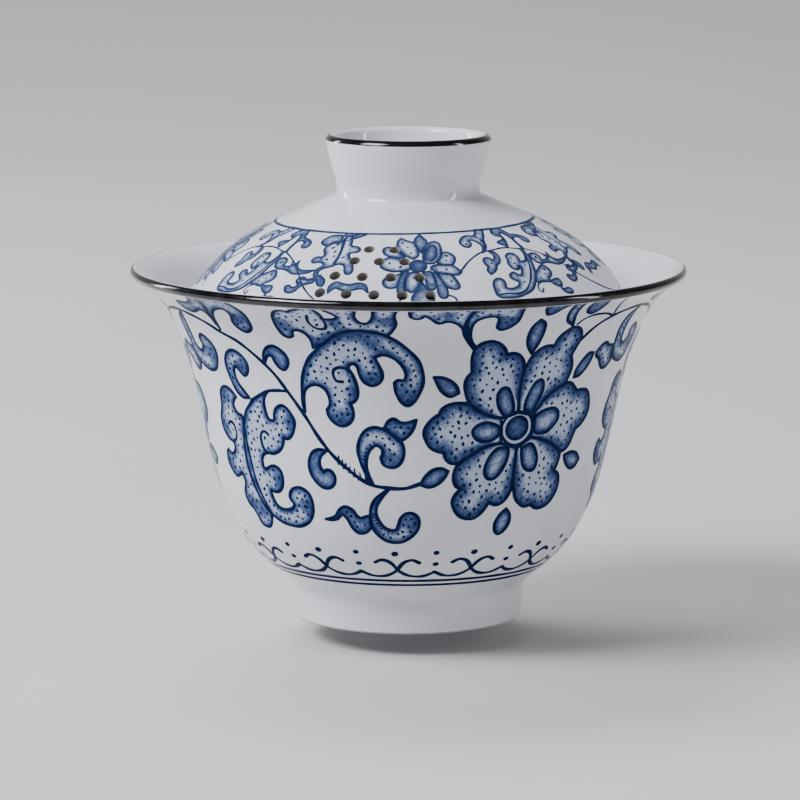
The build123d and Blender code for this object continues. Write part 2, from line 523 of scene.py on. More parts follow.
class Canvas:
    """One stretch of an unrolled wall. Flat places are (mm round the wall at its flat radius, mm up it)."""

    def __init__(self, wall, flat_radius, seed):
        self.wall = wall
        self.flat_radius = flat_radius
        self.random = random.Random(seed)
        self.points = []
        self.faces = []
        self.lines = []
        self.washes = []
        self.holes = []
        self.shades = []

    def flat(self, points):
        points = np.array(points, float)
        return np.stack([np.radians(points[:, 0]) * self.flat_radius, points[:, 1]], axis=1)

    def flat_place(self, angle, s):
        return self.flat([(angle, s)])[0]

    def squeeze(self, s):
        """Flat millimetres round the wall for one true millimetre, at a way up it."""
        return self.flat_radius / self.wall.radius(s)

    def add_face(self, corners):
        first = len(self.points)
        self.points.extend(corners)
        self.faces.append(list(range(first, first + len(corners))))

    def disc(self, centre, radius, sides, stretch=1.0, turn=0.0):
        """A round or oval spot, radius in true millimetres, turned by an angle in radians."""
        angles = 2 * math.pi * np.arange(sides) / sides
        x, y = stretch * np.cos(angles), np.sin(angles)
        cos, sin = math.cos(turn), math.sin(turn)
        spot = radius * np.stack([cos * x - sin * y, sin * x + cos * y], axis=1)
        spot[:, 0] *= self.squeeze(centre[1])
        self.add_face(np.array(centre) + spot)

    def ribbon(self, line, width):
        """A brush line along flat points, of a true width that wavers a little, with round ends."""
        squeeze = self.squeeze(line[:, 1])
        along = np.gradient(line, axis=0)
        true = np.stack([along[:, 0] / squeeze, along[:, 1]], axis=1)
        true /= np.maximum(np.hypot(*true.T), 1e-9)[:, None]
        across = np.stack([-true[:, 1] * squeeze, true[:, 0]], axis=1)
        phase = self.random.uniform(0, 6.3)
        waver = 1 + WAVER * np.sin(np.arange(len(line)) * WAVER_TURN + phase)
        half = (width / 2 * waver)[:, None]
        left, right = line + across * half, line - across * half
        for i in range(len(line) - 1):
            self.add_face([right[i], right[i + 1], left[i + 1], left[i]])
        for end in (0, -1):
            self.disc(line[end], half[end, 0], END_SIDES)
        self.lines.append(line)

    def stroke(self, points, width):
        self.ribbon(rounded_line(self.flat(points), STEP), width)

    def leaf(self, leaf, width):
        """A washed shape with a dark outline."""
        outline = []
        start = leaf.arcs[-1][-1]
        for points in leaf.arcs:
            line = rounded_line(self.flat([start] + points), STEP)
            self.ribbon(line, width)
            outline.append(line[:-1])
            start = points[-1]
        self.washes.append((np.concatenate(outline), leaf.wash))

    def ring(self, centre, radius, width, wash):
        """A drawn circle with a wash in it."""
        middle = self.flat_place(*centre)
        angles = np.linspace(0, 2 * math.pi, max(24, int(radius * RING_POINTS)))
        circle = radius * np.stack([np.cos(angles), np.sin(angles)], axis=1)
        circle[:, 0] *= self.squeeze(middle[1])
        line = middle + circle
        self.ribbon(line, width)
        self.washes.append((line[:-1], wash))

    def hatch(self, line, gap, length, lean):
        """Short ticks to the left of a drawn line (to its right if the length is negative)."""
        line = rounded_line(self.flat(line), gap)
        for place, along in zip(line, np.gradient(line, axis=0)):
            along = along / np.hypot(*along)
            across = np.array([-along[1], along[0]]) * math.copysign(1, length)
            reach = abs(length) * self.random.uniform(*TICK_REACH)
            self.ribbon(np.array([place, place + (across + along * lean) * reach]), TICK_WIDTH)

    def draw(self, leaves, outline, rings, strokes):
        """Draw leaves, then the rings of a flower's eye, then strokes."""
        for leaf in leaves:
            self.leaf(leaf, outline)
        for ring in rings:
            self.ring(*ring)
        for stroke in strokes:
            self.stroke(stroke.points, stroke.width)

    def wash_at(self, points):
        """The index of the topmost wash that covers each point, or -1."""
        index = np.full(len(points), -1)
        for i, (outline, _) in enumerate(self.washes):
            low, high = outline.min(axis=0), outline.max(axis=0)
            near = np.flatnonzero(((points >= low) & (points <= high)).all(axis=1))
            if len(near):
                index[near[inside(points[near], outline)]] = i
        return index

    def stipple(self, drawn):
        """Scatter small dots over the washes, clear of the drawn lines and of each other."""
        placed = []
        for i, (outline, wash) in enumerate(self.washes):
            if not wash.stipple:
                continue
            low, high = outline.min(axis=0), outline.max(axis=0)
            count = int(DOT_TRIES * (high - low).prod() / wash.stipple**2)
            tries = [[self.random.uniform(low[k], high[k]) for k in (0, 1)] for _ in range(count)]
            tries = np.array(tries)
            tries = tries[self.wash_at(tries) == i]
            for u, v in tries[nearest(tries, drawn) > DOT_CLEAR]:
                if all((u - a) ** 2 + (v - b) ** 2 > wash.stipple**2 for a, b in placed[-DOT_MEMORY:]):
                    placed.append((u, v))
                    radius = self.random.uniform(*DOT_RADIUS)
                    stretch = self.random.uniform(*DOT_STRETCH)
                    self.disc((u, v), radius, DOT_SIDES, stretch, self.random.uniform(*DOT_TURN))

    def fill_points(self, drawn):
        """Points inside the washes, which let them follow the wall and shade from edge to middle."""
        grid = [np.zeros((0, 2))]
        for outline, _ in self.washes:
            low, high = outline.min(axis=0), outline.max(axis=0)
            for k, v in enumerate(np.arange(low[1], high[1], CELL * ROW)):
                u = np.arange(low[0] + (k % 2) * CELL / 2, high[0], CELL)
                grid.append(np.stack([u, np.full(len(u), v)], axis=1))
        grid = np.unique(np.round(np.concatenate(grid), 4), axis=0)
        grid = grid[self.wash_at(grid) >= 0]
        return grid[nearest(grid, drawn) > FILL_CLEAR]

    def pale_at(self, places, outline, wash):
        """How pale a wash is at places in it."""
        depth = wash.depth
        if wash.focus:
            away = np.hypot(*(places - self.flat_place(*wash.focus)).T)
            depth = depth * np.clip((away - FOCUS_RADIUS) / FOCUS_REACH, FOCUS_LEAST, 1)
        inward = np.clip((nearest(places, outline) - EDGE_WIDTH) / depth, 0, 1) ** EDGE_POWER
        pale = wash.edge + (wash.paleness - wash.edge) * inward
        for angle, s, radius in self.shades:
            away = np.hypot(*(places - self.flat_place(angle, s)).T)
            pale *= np.minimum(SHADE_LEAST + (1 - SHADE_LEAST) * (away / radius) ** 2, 1)
        return pale

    def cut(self):
        """Cut the drawing into triangles: a line covers a wash, and a hole takes both away."""
        drawn = np.concatenate(self.lines)
        first_hole = len(self.faces)
        for centre in self.holes:
            self.disc(centre, HOLE_RADIUS, HOLE_SIDES)
        first_dot = len(self.faces)
        self.stipple(drawn)
        points = [Vector(p) for p in self.points] + [Vector(p) for p in self.fill_points(drawn)]
        places, _, triangles, _, _, owners = delaunay_2d_cdt(points, [], self.faces, 0, CUT_MERGE)
        places = np.array([tuple(p) for p in places])
        triangles = np.array(triangles)
        covered = np.array([bool(faces) for faces in owners])
        holed = np.array([any(first_hole <= face < first_dot for face in faces) for faces in owners])
        wash = np.where(covered, -1, self.wash_at(places[triangles].mean(axis=1)))
        pale = np.zeros(len(places))
        for i in np.unique(wash[wash >= 0]):
            mine = np.unique(triangles[wash == i])
            pale[mine] = self.pale_at(places[mine], *self.washes[i])
        return Cut(self.flat_radius, places, triangles[covered & ~holed], triangles[wash >= 0], pale)


def shell(wall, cut, triangles, lift, top):
    """A closed thin shell on the wall over some triangles: points (mm), faces, corner normals, paleness."""
    used, faces = np.unique(triangles, return_inverse=True)
    faces = faces.reshape(-1, 3)
    spots = cut.places[used]
    spots = np.stack([spots[:, 0], np.minimum(spots[:, 1], top)], axis=1)
    corner = spots[faces]
    a, b = corner[:, 1] - corner[:, 0], corner[:, 2] - corner[:, 0]
    area = a[:, 0] * b[:, 1] - a[:, 1] * b[:, 0]
    faces = faces[np.abs(area) > SLIVER]
    area = area[np.abs(area) > SLIVER]
    faces[area < 0] = faces[area < 0][:, ::-1]
    angles = np.degrees(spots[:, 0] / cut.flat_radius)
    upper, normals = wall.place(angles, spots[:, 1], lift)
    lower, _ = wall.place(angles, spots[:, 1], -SINK)
    count = len(used)
    # An edge that no other triangle runs along the other way is on the border, and gets a side.
    edges = np.concatenate([faces[:, [0, 1]], faces[:, [1, 2]], faces[:, [2, 0]]])
    forward, backward = edges @ (count, 1), edges @ (1, count)
    a, b = edges[~np.isin(forward, backward)].T
    sides = np.stack([b, a, a + count, b + count], axis=1)
    out = np.cross(upper[a] - upper[b], lower[b] - upper[b])
    out /= np.maximum(np.linalg.norm(out, axis=1), 1e-12)[:, None]
    under = faces[:, ::-1]
    polygons = faces.tolist() + (under + count).tolist() + sides.tolist()
    facing = [normals[faces].reshape(-1, 3), -normals[under].reshape(-1, 3), np.repeat(out, 4, axis=0)]
    points = np.concatenate([upper, lower])
    return points, polygons, np.concatenate(facing), np.tile(cut.paleness[used], 2)


class Paint:
    """The thin shells of one colour, gathered into one mesh."""

    def __init__(self):
        self.points, self.faces, self.normals, self.pale = [], [], [], []
        self.count = 0

    def add(self, wall, cut, triangles, lift, top):
        points, faces, normals, pale = shell(wall, cut, triangles, lift, top)
        self.faces.extend([v + self.count for v in face] for face in faces)
        self.points.append(points * MM)
        self.normals.append(normals)
        self.pale.append(pale)
        self.count += len(points)

    def piece(self, name, material, body):
        mesh = bpy.data.meshes.new(name)
        points = np.concatenate(self.points)
        mesh.from_pydata(points.tolist(), [], self.faces)
        paleness = mesh.attributes.new("paleness", "FLOAT", "POINT")
        paleness.data.foreach_set("value", np.concatenate(self.pale).astype(np.float32))
        mesh.shade_smooth()
        mesh.normals_split_custom_set(np.concatenate(self.normals).tolist())
        return finish_piece(name, mesh, [material], body)


RING_SEED = 7
RING_WAVES = 8
RING_WAVE = ((3, 40), (0, 6.3), (0.01, 0.035))  # each wave's count round the ring, phase and size
RING_RISE = 0.35  # how the waves move a ring up and down, in mm
RING_SWELL = 1.8  # how they change its width


def closed_ring(name, wall, lines, material, body):
    """Painted lines right round the wall, each a thin closed band: lines are (height at an angle, width)."""
    angles = np.arange(2 * TURNS) * 180.0 / TURNS - 180
    count = len(angles)
    points, faces, corner_normals = [], [], []
    for number, (height, width) in enumerate(lines):
        dice = random.Random(number + RING_SEED)
        times, phases, sizes = RING_WAVE
        waves = []
        for _ in range(RING_WAVES):
            waves.append((dice.randint(*times), dice.uniform(*phases), dice.uniform(*sizes)))
        waver = sum(size * np.sin(n * np.radians(angles) + phase) for n, phase, size in waves)
        middle = height(angles) + RING_RISE * waver
        half = width / 2 * (1 + RING_SWELL * waver)
        rows, facing = [], []
        for side, lift in ((-1, LINE_LIFT), (1, LINE_LIFT), (1, -SINK), (-1, -SINK)):
            row, normals = wall.place(angles, middle + side * half, lift)
            rows.append(len(points))
            facing.append(normals)
            points.extend((row * MM).tolist())
        # The outer and inner faces get the wall's normals. A zero leaves Blender's own on the sides.
        for k, sign in enumerate((1, 0, -1, 0)):
            after = (k + 1) % 4
            for i in range(count):
                j = (i + 1) % count
                faces.append((rows[k] + i, rows[k] + j, rows[after] + j, rows[after] + i))
                corners = (facing[k][i], facing[k][j], facing[after][j], facing[after][i])
                corner_normals.extend(tuple(sign * normal) for normal in corners)
    mesh = bpy.data.meshes.new(name)
    mesh.from_pydata(points, [], faces)
    mesh.shade_smooth()
    mesh.normals_split_custom_set(corner_normals)
    return finish_piece(name, mesh, [material], body)


# ---- The bowl's repeat: a scrolling stem with leaves and a flower ----
BOWL_STROKES = [
    Stroke("main_stem", 0.74, [
        (-83.3, 51.4), (-79.8, 53.9), (-74.9, 55.9), (-68, 57.05), (-62.3, 56.95), (-54.8, 55.55),
        (-49.5, 53.75), (-44.6, 52.3), (-40.1, 49.9), (-35.6, 46.75), (-32.3, 43.4), (-28.2, 39.25),
        (-24.1, 34.75), (-19.9, 31.4), (-11.25, 27.1), (-6.35, 26.4), (-1, 26.3), (3, 27.1),
    ]),
    Stroke("thin_branch", 0.55, [
        (-86.7, 55), (-85.4, 56.1), (-83.2, 56.8), (-80.5, 56.9), (-77.9, 56.6), (-75.6, 55.9),
    ]),
    Stroke("rim_twig", 0.55, [(-77.3, 61.5), (-76.4, 59), (-75.4, 56.1)]),
    Stroke("acanthus_branch", 0.6, [
        (-32.3, 43.35), (-34.8, 43.4), (-39.4, 42.9), (-41.6, 42.1), (-45.4, 40.75),
    ]),
    Stroke("curl_stem", 0.55, [(-10.1, 27), (-10.9, 27.5), (-12, 29.25)]),
    Stroke("side_leaf_spiral", 0.6, [
        (-57.1, 32.1), (-55.2, 32.75), (-54.4, 34), (-55, 35.5), (-56.7, 35.9), (-57.6, 35.4),
    ]),
    Stroke("acanthus_spiral", 0.6, [
        (-41, 34.75), (-42, 35.25), (-43.1, 35.1), (-43.9, 34.25), (-43.9, 33), (-43.3, 31.9),
        (-42.4, 31.4),
    ]),
    Stroke("ruffled_spiral", 0.6, [
        (-21.8, 60.2), (-22.2, 58.4), (-21.4, 57.1), (-19.9, 56.6), (-18.6, 56.9), (-18.3, 58),
        (-18.8, 59.6),
    ]),
    Stroke("big_scroll_spiral", 0.6, [
        (-16.5, 46), (-18, 46.1), (-18.7, 47.25), (-18.4, 48.25), (-16.9, 48.8), (-15.4, 48.6),
        (-14.65, 48.1),
    ]),
]
BOWL_LEAVES = [
    Leaf("bud_on_stem", BUD, [
        [(4.5, 28.5), (6.8, 29.75), (9.1, 30), (10.9, 29.4)],
        [(10, 28.25), (7.9, 27), (5.7, 26.45), (3.2, 27)],
    ]),
    Leaf("left_curl", LEAF, [
        [(-67.3, 55), (-68.4, 53), (-68, 50.5), (-67.3, 48), (-64.7, 46), (-60.3, 45.2), (-57.1, 46),
         (-55, 48.5), (-55.2, 50.5), (-57.1, 51.9), (-59.2, 52.35), (-60.8, 51.5), (-60.4, 50)],
        [(-62.3, 48.8), (-64.2, 49.5), (-65, 51.5), (-65, 54), (-63.9, 57)],
    ]),
    Leaf("left_small_leaf", LEAF, [
        [(-73.4, 49.7), (-71.8, 49.8), (-70.7, 49.3), (-68.1, 49)],
        [(-67.4, 47.2), (-66.2, 45.9)],
        [(-67.7, 44.9), (-70, 44.6), (-71.8, 45.55), (-73, 46.7), (-75.05, 47.55), (-75.4, 48.4)],
    ]),
    Leaf("middle_curl", LEAF, [
        [(-48.4, 41.1), (-50.3, 42), (-51.8, 44), (-52.35, 46), (-52, 47.75), (-50.7, 49.25), (-48.8, 50.1),
         (-46.9, 50.25), (-45, 49.6), (-43.7, 48.25), (-43.9, 46.75), (-45, 45.6), (-46.1, 45.4),
         (-47.1, 46.1)],
        [(-48.2, 47), (-49.2, 46.5), (-49.5, 45.25), (-49, 43.75), (-45.8, 41.25)],
    ]),
    Leaf("side_leaf", LEAF, [
        [(-51.8, 37.75), (-52.9, 38.4), (-53.3, 39.5), (-52.2, 40.5), (-51.4, 40.9)],
        [(-52.9, 41.9), (-54.8, 42.5), (-56.7, 42.4), (-58.4, 41.6), (-59.1, 40.5), (-59.5, 39)],
        [(-60.1, 37.8), (-61.2, 36.75), (-61.6, 35.25), (-60.8, 33.75), (-58.95, 32.5), (-57.1, 32.1),
         (-56.5, 31.25), (-57.3, 30.25), (-58.95, 29.75), (-60.8, 30.4)],
        [(-62, 29.75), (-62.5, 28.5), (-62, 27.25), (-59.3, 25.5), (-57.1, 25.9), (-55.6, 26.4)],
        [(-55, 25.5), (-55, 24.5), (-56.1, 23.25)],
        [(-56.7, 22), (-55.9, 20.5), (-54.4, 19.75)],
        [(-53.3, 18.5), (-52.5, 17), (-51.8, 16.5)],
        [(-49.2, 16.4), (-47.3, 17.25), (-46.1, 18.75), (-45.8, 19.5)],
        [(-49, 25), (-50, 31), (-50.3, 37.6)],
    ]),
    Leaf("acanthus", LEAF, [
        [(-43.9, 41.25), (-46.9, 39.5), (-48.4, 38.5), (-50.5, 35.25), (-51.7, 31.5), (-51.7, 27.5),
         (-50.3, 23.75), (-47.3, 20.25), (-45.4, 19.1), (-42.4, 18.1), (-39.4, 17.6), (-36.3, 17.5),
         (-33, 18.1), (-30.9, 19), (-29.5, 20.5), (-28.9, 22.5), (-29.3, 24), (-30.7, 25), (-33, 25.45),
         (-35.2, 25), (-36.3, 24.1), (-36.6, 23.1), (-35.4, 22)],
        [(-36.3, 21.25), (-38.6, 20.75), (-40.9, 20.9), (-42.4, 21.5), (-43.3, 22.75), (-43.6, 24.2)],
        [(-42, 23.95), (-40.1, 24.25), (-38.6, 25.25), (-38, 26.75), (-38.4, 28.1), (-39.9, 28.9),
         (-41.6, 28.9), (-43.1, 28.4)],
        [(-44.25, 28.1), (-44.8, 28.75), (-44.6, 30), (-43.7, 30.9), (-42.4, 31.3)],
        [(-40.1, 31.3), (-37.85, 31.9), (-36.3, 33), (-35.6, 34.6)],
        [(-34.5, 34.4), (-33, 35), (-31.8, 36.5), (-31.5, 38), (-33.5, 40.25), (-34.9, 40.6), (-36.7, 40),
         (-37.85, 38.75), (-38, 37.75)],
        [(-39, 37.5), (-40.1, 37.9), (-40.7, 40.75), (-39.9, 42), (-38.8, 42.9)],
    ]),
    Leaf("far_left_leaf", LEAF, [
        [(-60.2, 58.2), (-61, 59.25), (-59.8, 60), (-58, 60), (-55, 60.3), (-53.2, 61.2), (-52, 62.4),
         (-50, 64)],
        [(-48.4, 64)],
        [(-49.1, 61), (-49.9, 58), (-49.9, 55.3)],
        [(-51.4, 58), (-53, 58.5), (-55, 57.9), (-57, 57.5), (-57.8, 57.6)],
    ]),
    Leaf("hanging_leaf", LEAF, [
        [(-49.2, 56.7), (-48, 58.5), (-46.1, 59.5), (-43.5, 59.75), (-42.6, 58.2), (-43.3, 56.25),
         (-42, 55), (-40.1, 54.6), (-38.2, 55.5), (-37.85, 57.5), (-38.2, 59.5), (-40, 64)],
        [(-48.4, 64)],
        [(-49.3, 61), (-50.3, 58), (-49.9, 55.5), (-49.2, 54.4)],
    ]),
    Leaf("small_curl", BUD, [
        [(-37.1, 50.5), (-35.6, 51.75), (-33.4, 52.2), (-31.2, 51.25), (-30.3, 50), (-30.7, 48.5),
         (-32, 47.5), (-33.1, 47.75), (-34.1, 48.75), (-34.6, 50)],
        [(-35.6, 50.25), (-36.7, 49.5), (-37.3, 48.7), (-37.7, 48.5)],
    ]),
    Leaf("ruffled_leaf_left", TOP_LEAF, [
        [(-22.9, 54), (-23.9, 55.4), (-25.6, 56.05), (-26.9, 55.75), (-27.15, 54.75)],
        [(-28.2, 54.3), (-29.7, 54.75), (-30.7, 56.25), (-30.85, 58), (-30.1, 59.75), (-28.8, 61.1),
         (-27.1, 61.6), (-25.8, 61.1)],
        [(-24.6, 62), (-22.9, 62.8), (-22, 64)],
        [(-19.6, 64)],
        [(-19.4, 62.5), (-18.8, 61), (-18.4, 59.3)],
        [(-16.2, 59.4), (-15.2, 60.1), (-16.2, 61.25), (-17.3, 62.5), (-17.6, 64)],
        [(-10.9, 64)],
        [(-10.9, 62.5), (-11.4, 60), (-10.5, 58.6), (-9, 58.5), (-7.9, 59.75), (-7.3, 61.75), (-7.2, 64)],
        [(-2.4, 64)],
        [(-2.6, 62.5), (-3, 60.5), (-2.8, 58.25), (-3.7, 56.5), (-4.8, 55.5)],
        [(-7.9, 56.35), (-10.9, 56.6), (-14.3, 56.25), (-16.9, 55.25), (-19.9, 53.5), (-22.75, 52.5)],
    ]),
    Leaf("big_scroll", LEAF, [
        [(-28.2, 42), (-26.9, 47), (-25.2, 49.5), (-22.9, 51.5), (-16.9, 55.25), (-14.3, 56.25),
         (-10.9, 56.6), (-4.8, 55.4), (1.5, 51.25), (3.2, 48.75), (3.6, 46.5), (3, 44.5), (1.5, 42.5),
         (-0.2, 41.7), (-1.8, 42.3), (-3.15, 44), (-3.5, 46)],
        [(-2.6, 46.6), (-1.3, 46.5), (-0.7, 47.5), (-1.1, 48.75), (-2.2, 50), (-4.1, 51.1), (-6.2, 51.55),
         (-8.05, 51)],
        [(-6.9, 49), (-6.35, 47.25), (-7.3, 45.9), (-9, 45.4), (-10.9, 46), (-12, 47.5), (-12.4, 49)],
        [(-13.1, 49.6), (-14.3, 49.4), (-14.65, 48.75)],
        [(-13.5, 47), (-12.8, 43.5), (-13.9, 42.25), (-15, 41.95)],
        [(-14.3, 40.5), (-14.65, 39), (-16.2, 37.9), (-18, 37.6), (-19.9, 38.25), (-21.2, 39.6),
         (-21.4, 40.5)],
        [(-20.5, 41.5), (-21.05, 44), (-22.4, 44.9), (-24.1, 45.1), (-25.95, 44.6), (-27.3, 43.5),
         (-27.8, 39.9)],
    ]),
    Leaf("top_leaf_tip", TOP_LEAF, [
        [(0.2, 62), (0.4, 60.5), (1.5, 59.8), (2.65, 60.1), (3.2, 61)],
        [(4.7, 59.75), (6.4, 58.5), (8.3, 59), (10.2, 58.4), (11.9, 57), (12.5, 55.5), (13.6, 54),
         (15.1, 52.6)],
        [(14.3, 54.5), (12.9, 57), (12.7, 59.5), (13.5, 64)],
        [(0.1, 64)],
    ]),
    Leaf("top_leaf_drop", LEAF, [
        [(14.15, 54.5), (14.15, 58.25), (15.5, 59.6), (17.4, 60.1), (19.05, 59.75), (19.6, 58.5),
         (19.8, 57), (20.9, 56.4), (22.6, 56.75), (24.1, 58), (24.3, 59.75), (23.4, 64)],
        [(13.9, 64)],
        [(12.3, 58.5), (12.7, 56), (13.9, 54), (15.8, 52.75)],
    ]),
    Leaf("right_leaf_drop", DARK, [
        [(29, 62.5), (30, 60.5), (31.1, 59.55), (32.4, 60), (33.2, 61), (34, 62), (34.8, 64)],
        [(28.6, 64)],
    ]),
    Leaf("right_leaf_channel", TOP_LEAF, [
        [(39.6, 56.25), (37.7, 57.25), (36.6, 59), (36.2, 61), (35.6, 64)],
        [(38.6, 64)],
        [(38.3, 62.5), (38.6, 60.5), (39, 58.5), (40.1, 55.8)],
    ]),
    Leaf("right_leaf_bulb", DARK, [
        [(41.1, 60.5), (42.2, 59.1), (43.9, 58.6), (45.2, 59.25), (45.8, 60.75), (45.2, 62.5), (45, 64)],
        [(40.5, 64)],
    ]),
    Leaf("petal_top_left", PETAL, [
        [(21.9, 39.25), (17.5, 40.75), (15.5, 42.1), (14.4, 43.75), (14, 45.5), (14.5, 47), (15.5, 47.9)],
        [(15.1, 51.25), (15.8, 52.9), (17.5, 53.75), (19.6, 53.95), (21.5, 53.4), (23, 52.25),
         (23.8, 51.1)],
        [(25.6, 51.25), (27.3, 50.75), (28.7, 49.5), (29.2, 48), (29.2, 43), (29.5, 41.25), (29.7, 39.6)],
        [(24.9, 38.75)],
    ]),
    Leaf("petal_top_right", PETAL, [
        [(29.2, 45), (30.1, 49.25), (31.7, 51.1), (33.5, 52.05), (35, 52.2), (36.4, 52)],
        [(36.9, 53.25), (38.25, 54.6), (40.3, 55.6), (42.2, 55.4), (43.9, 54.25), (44.7, 52.75),
         (44.1, 51.5), (43.3, 50)],
        [(43.4, 49.25), (44.3, 48), (44.7, 46.5), (44.1, 45), (43.5, 44), (41.8, 43.6)],
        [(39.6, 42.75), (37.7, 41.75), (35.8, 40.25), (34.5, 38.8)],
        [(29.7, 39.6)],
    ]),
    Leaf("petal_right", PETAL, [
        [(35.8, 40.25), (37.7, 41.75), (39.6, 42.75), (41.8, 43.6)],
        [(43.3, 44.1), (45.6, 44.1), (49, 42.4)],
        [(50.9, 42.4), (53.1, 42.1), (55, 41), (56.2, 38.5), (55.6, 37), (53.9, 35.75), (51.6, 35)],
        [(50.9, 34), (50.1, 32.5), (48.6, 31.5), (46.4, 31.25), (44.8, 31.9)],
        [(42.6, 32.9), (37.7, 34.25), (34.8, 34.75)],
        [(34.5, 38.8)],
    ]),
    Leaf("petal_bottom_right", PETAL, [
        [(37.7, 34.25), (42.6, 32.9), (44.8, 31.9)],
        [(46.4, 31), (46, 28.5), (45.2, 27.75)],
        [(47.1, 27), (48.2, 25.5), (48.2, 24), (47.1, 22.5), (45.2, 21.25), (42.6, 20.75), (40.3, 21),
         (38.4, 21.75)],
        [(36, 21.55), (33.9, 22.25), (32.2, 23.5), (30.7, 27), (30.5, 33)],
        [(34.8, 34.75)],
    ]),
    Leaf("petal_bottom_left", PETAL, [
        [(23.4, 34), (20.4, 33.5), (18.1, 32.6), (14, 30.9), (12.6, 29.5), (12.4, 28), (13.2, 26.6),
         (14.7, 26)],
        [(13.2, 24.9), (12.5, 23.5), (13.2, 22), (14.9, 20.75), (17.35, 20.1), (19.6, 20.1), (21.5, 21),
         (23.8, 23)],
        [(26, 22.4), (27.9, 22.75), (29.6, 24), (30.5, 25.25)],
        [(30.6, 27), (30.5, 29), (30.5, 33)],
        [(25.5, 34.1)],
    ]),
    Leaf("petal_left", PETAL, [
        [(23.4, 34), (20.4, 33.5), (18.1, 32.6), (15.8, 31.75), (14.7, 31.25)],
        [(13.2, 30.8), (11.3, 30.9), (10, 31.75), (9.4, 32.9)],
        [(7.4, 33.25), (5.5, 34), (4, 36.5), (4.7, 38.1), (6.4, 39.4), (7.9, 40)],
        [(8.3, 40.75), (9.4, 41.5), (11.3, 42), (15.5, 41.75), (17.5, 40.75)],
        [(19.6, 39.9), (21.9, 39.25), (24.9, 38.75)],
        [(25.5, 34.1)],
    ]),
    Leaf("lens_1", LENS, [
        [(24.1, 44.4), (25.6, 44.4), (27, 43), (28.1, 40), (27.2, 39.25), (25.8, 39.1), (24.1, 40.5),
         (23.2, 42), (23, 43.25)],
    ]),
    Leaf("lens_2", LENS, [
        [(31.5, 41.5), (32.2, 43.25), (33.5, 44.9), (34.9, 45.5), (36, 45), (36.4, 43.5), (34.9, 40.75),
         (33.7, 39.4), (31.5, 40)],
    ]),
    Leaf("lens_3", LENS, [
        [(36.9, 39.25), (39.2, 39.7), (41.5, 39.6), (43, 38.9), (43.4, 37.5), (40.3, 35.5), (38.1, 35.25),
         (35.8, 35.5), (35, 38.4)],
    ]),
    Leaf("lens_4", LENS, [
        [(32.4, 31.25), (33.2, 29.5), (34.7, 28.6), (36.9, 28.5), (37.8, 29.5), (37.7, 31), (35, 33.5),
         (32, 32.9)],
    ]),
    Leaf("lens_5", LENS, [
        [(28.1, 31.75), (26, 28.5), (24.1, 27.5), (22.3, 27.75), (21.3, 29), (21.7, 30.75), (23, 32.25),
         (24.9, 33.25), (27.9, 33.1)],
    ]),
    Leaf("lens_6", LENS, [
        [(23.4, 35), (21.1, 34.6), (18.9, 34.9), (17.4, 35.75), (17, 36.75), (18.1, 37.6), (20.2, 38.1),
         (22.6, 37.9), (24.5, 37.1), (24.9, 36)],
    ]),
    Leaf("bud_left", BUD, [
        [(8.3, 47), (10.6, 46.25), (12.1, 45), (12.6, 43.9)],
        [(10.6, 43.25), (8.7, 44), (7.4, 45.25), (6.2, 47.05)],
    ]),
    Leaf("bud_top", BUD, [
        [(31.5, 57.25), (32.2, 55.25), (31.8, 53.25), (30.4, 50.9)],
        [(28.8, 52.5), (28.3, 54.5), (28.6, 56.75), (29.8, 58.4)],
    ]),
    Leaf("bud_right", BUD, [
        [(46.4, 46.5), (49.7, 49.5), (51.6, 49.4)],
        [(51.3, 47.75), (50.1, 46.25), (48.2, 45.25), (46.4, 45.1)],
    ]),
    Leaf("bud_low_right", BUD, [
        [(51.3, 30.7), (54.3, 30.25), (56.2, 29)],
        [(54.6, 27.75), (52.4, 27.5), (50.1, 28.5), (48.8, 29.75), (48.4, 30.4)],
    ]),
    Leaf("bud_bottom", BUD, [
        [(31.3, 20.5), (31.8, 19), (30.9, 17.25), (29, 16.4), (27.5, 17), (26.8, 18.75), (27.9, 20.5),
         (29.8, 21.5)],
    ]),
    Leaf("comma", BUD, [
        [(-24.8, 33), (-26.9, 32.4), (-28.2, 31), (-28.4, 29.25), (-27.5, 27.5), (-25.6, 26.1),
         (-23.3, 25.8), (-21.4, 26.5), (-20.75, 27.75), (-21.4, 28.9), (-22.9, 29.3), (-24.1, 28.9)],
        [(-24.6, 29.25), (-25.1, 30.5), (-24.4, 31.75), (-22.6, 32.9)],
    ]),
    Leaf("s_scroll_tip", DARK, [
        [(-5.4, 38.75), (-3.9, 39.25), (-2.2, 38.6), (-0.5, 38.55), (1.9, 39)],
        [(1.4, 37.75), (0.4, 36.5), (-1.1, 35.5), (-2.5, 35.1)],
        [(-4, 36), (-6.35, 37.6)],
    ]),
    Leaf("s_scroll", LEAF, [
        [(-10.9, 27.5), (-12, 29.25), (-13.1, 31), (-13.7, 33), (-13.3, 35), (-12, 36.6), (-10.1, 37.45),
         (-7.9, 37.55), (-5.6, 36.9), (-1.8, 34.75), (-1.2, 33.25), (-1.8, 31.5), (-3.3, 30.4),
         (-5.2, 30.2), (-6.9, 30.75), (-7.5, 32)],
        [(-6.9, 32.9), (-7.3, 33.75), (-8.6, 34.25), (-9.9, 33.75), (-11.1, 32.5), (-11.6, 30.75),
         (-11.1, 29), (-10.1, 27.1)],
    ]),
    Leaf("bottom_curl", LEAF, [
        [(-7.1, 25.5), (-9.4, 24.25), (-10.9, 22.5), (-11.3, 20.5), (-10.9, 18.5), (-9.4, 17), (-7.1, 15.9),
         (-4.1, 15.45), (-1.5, 15.7), (2.3, 17.75), (3.2, 19.25), (2.65, 20.75), (1.1, 21.5), (-0.7, 21.5),
         (-2.2, 20.7), (-3, 19.25)],
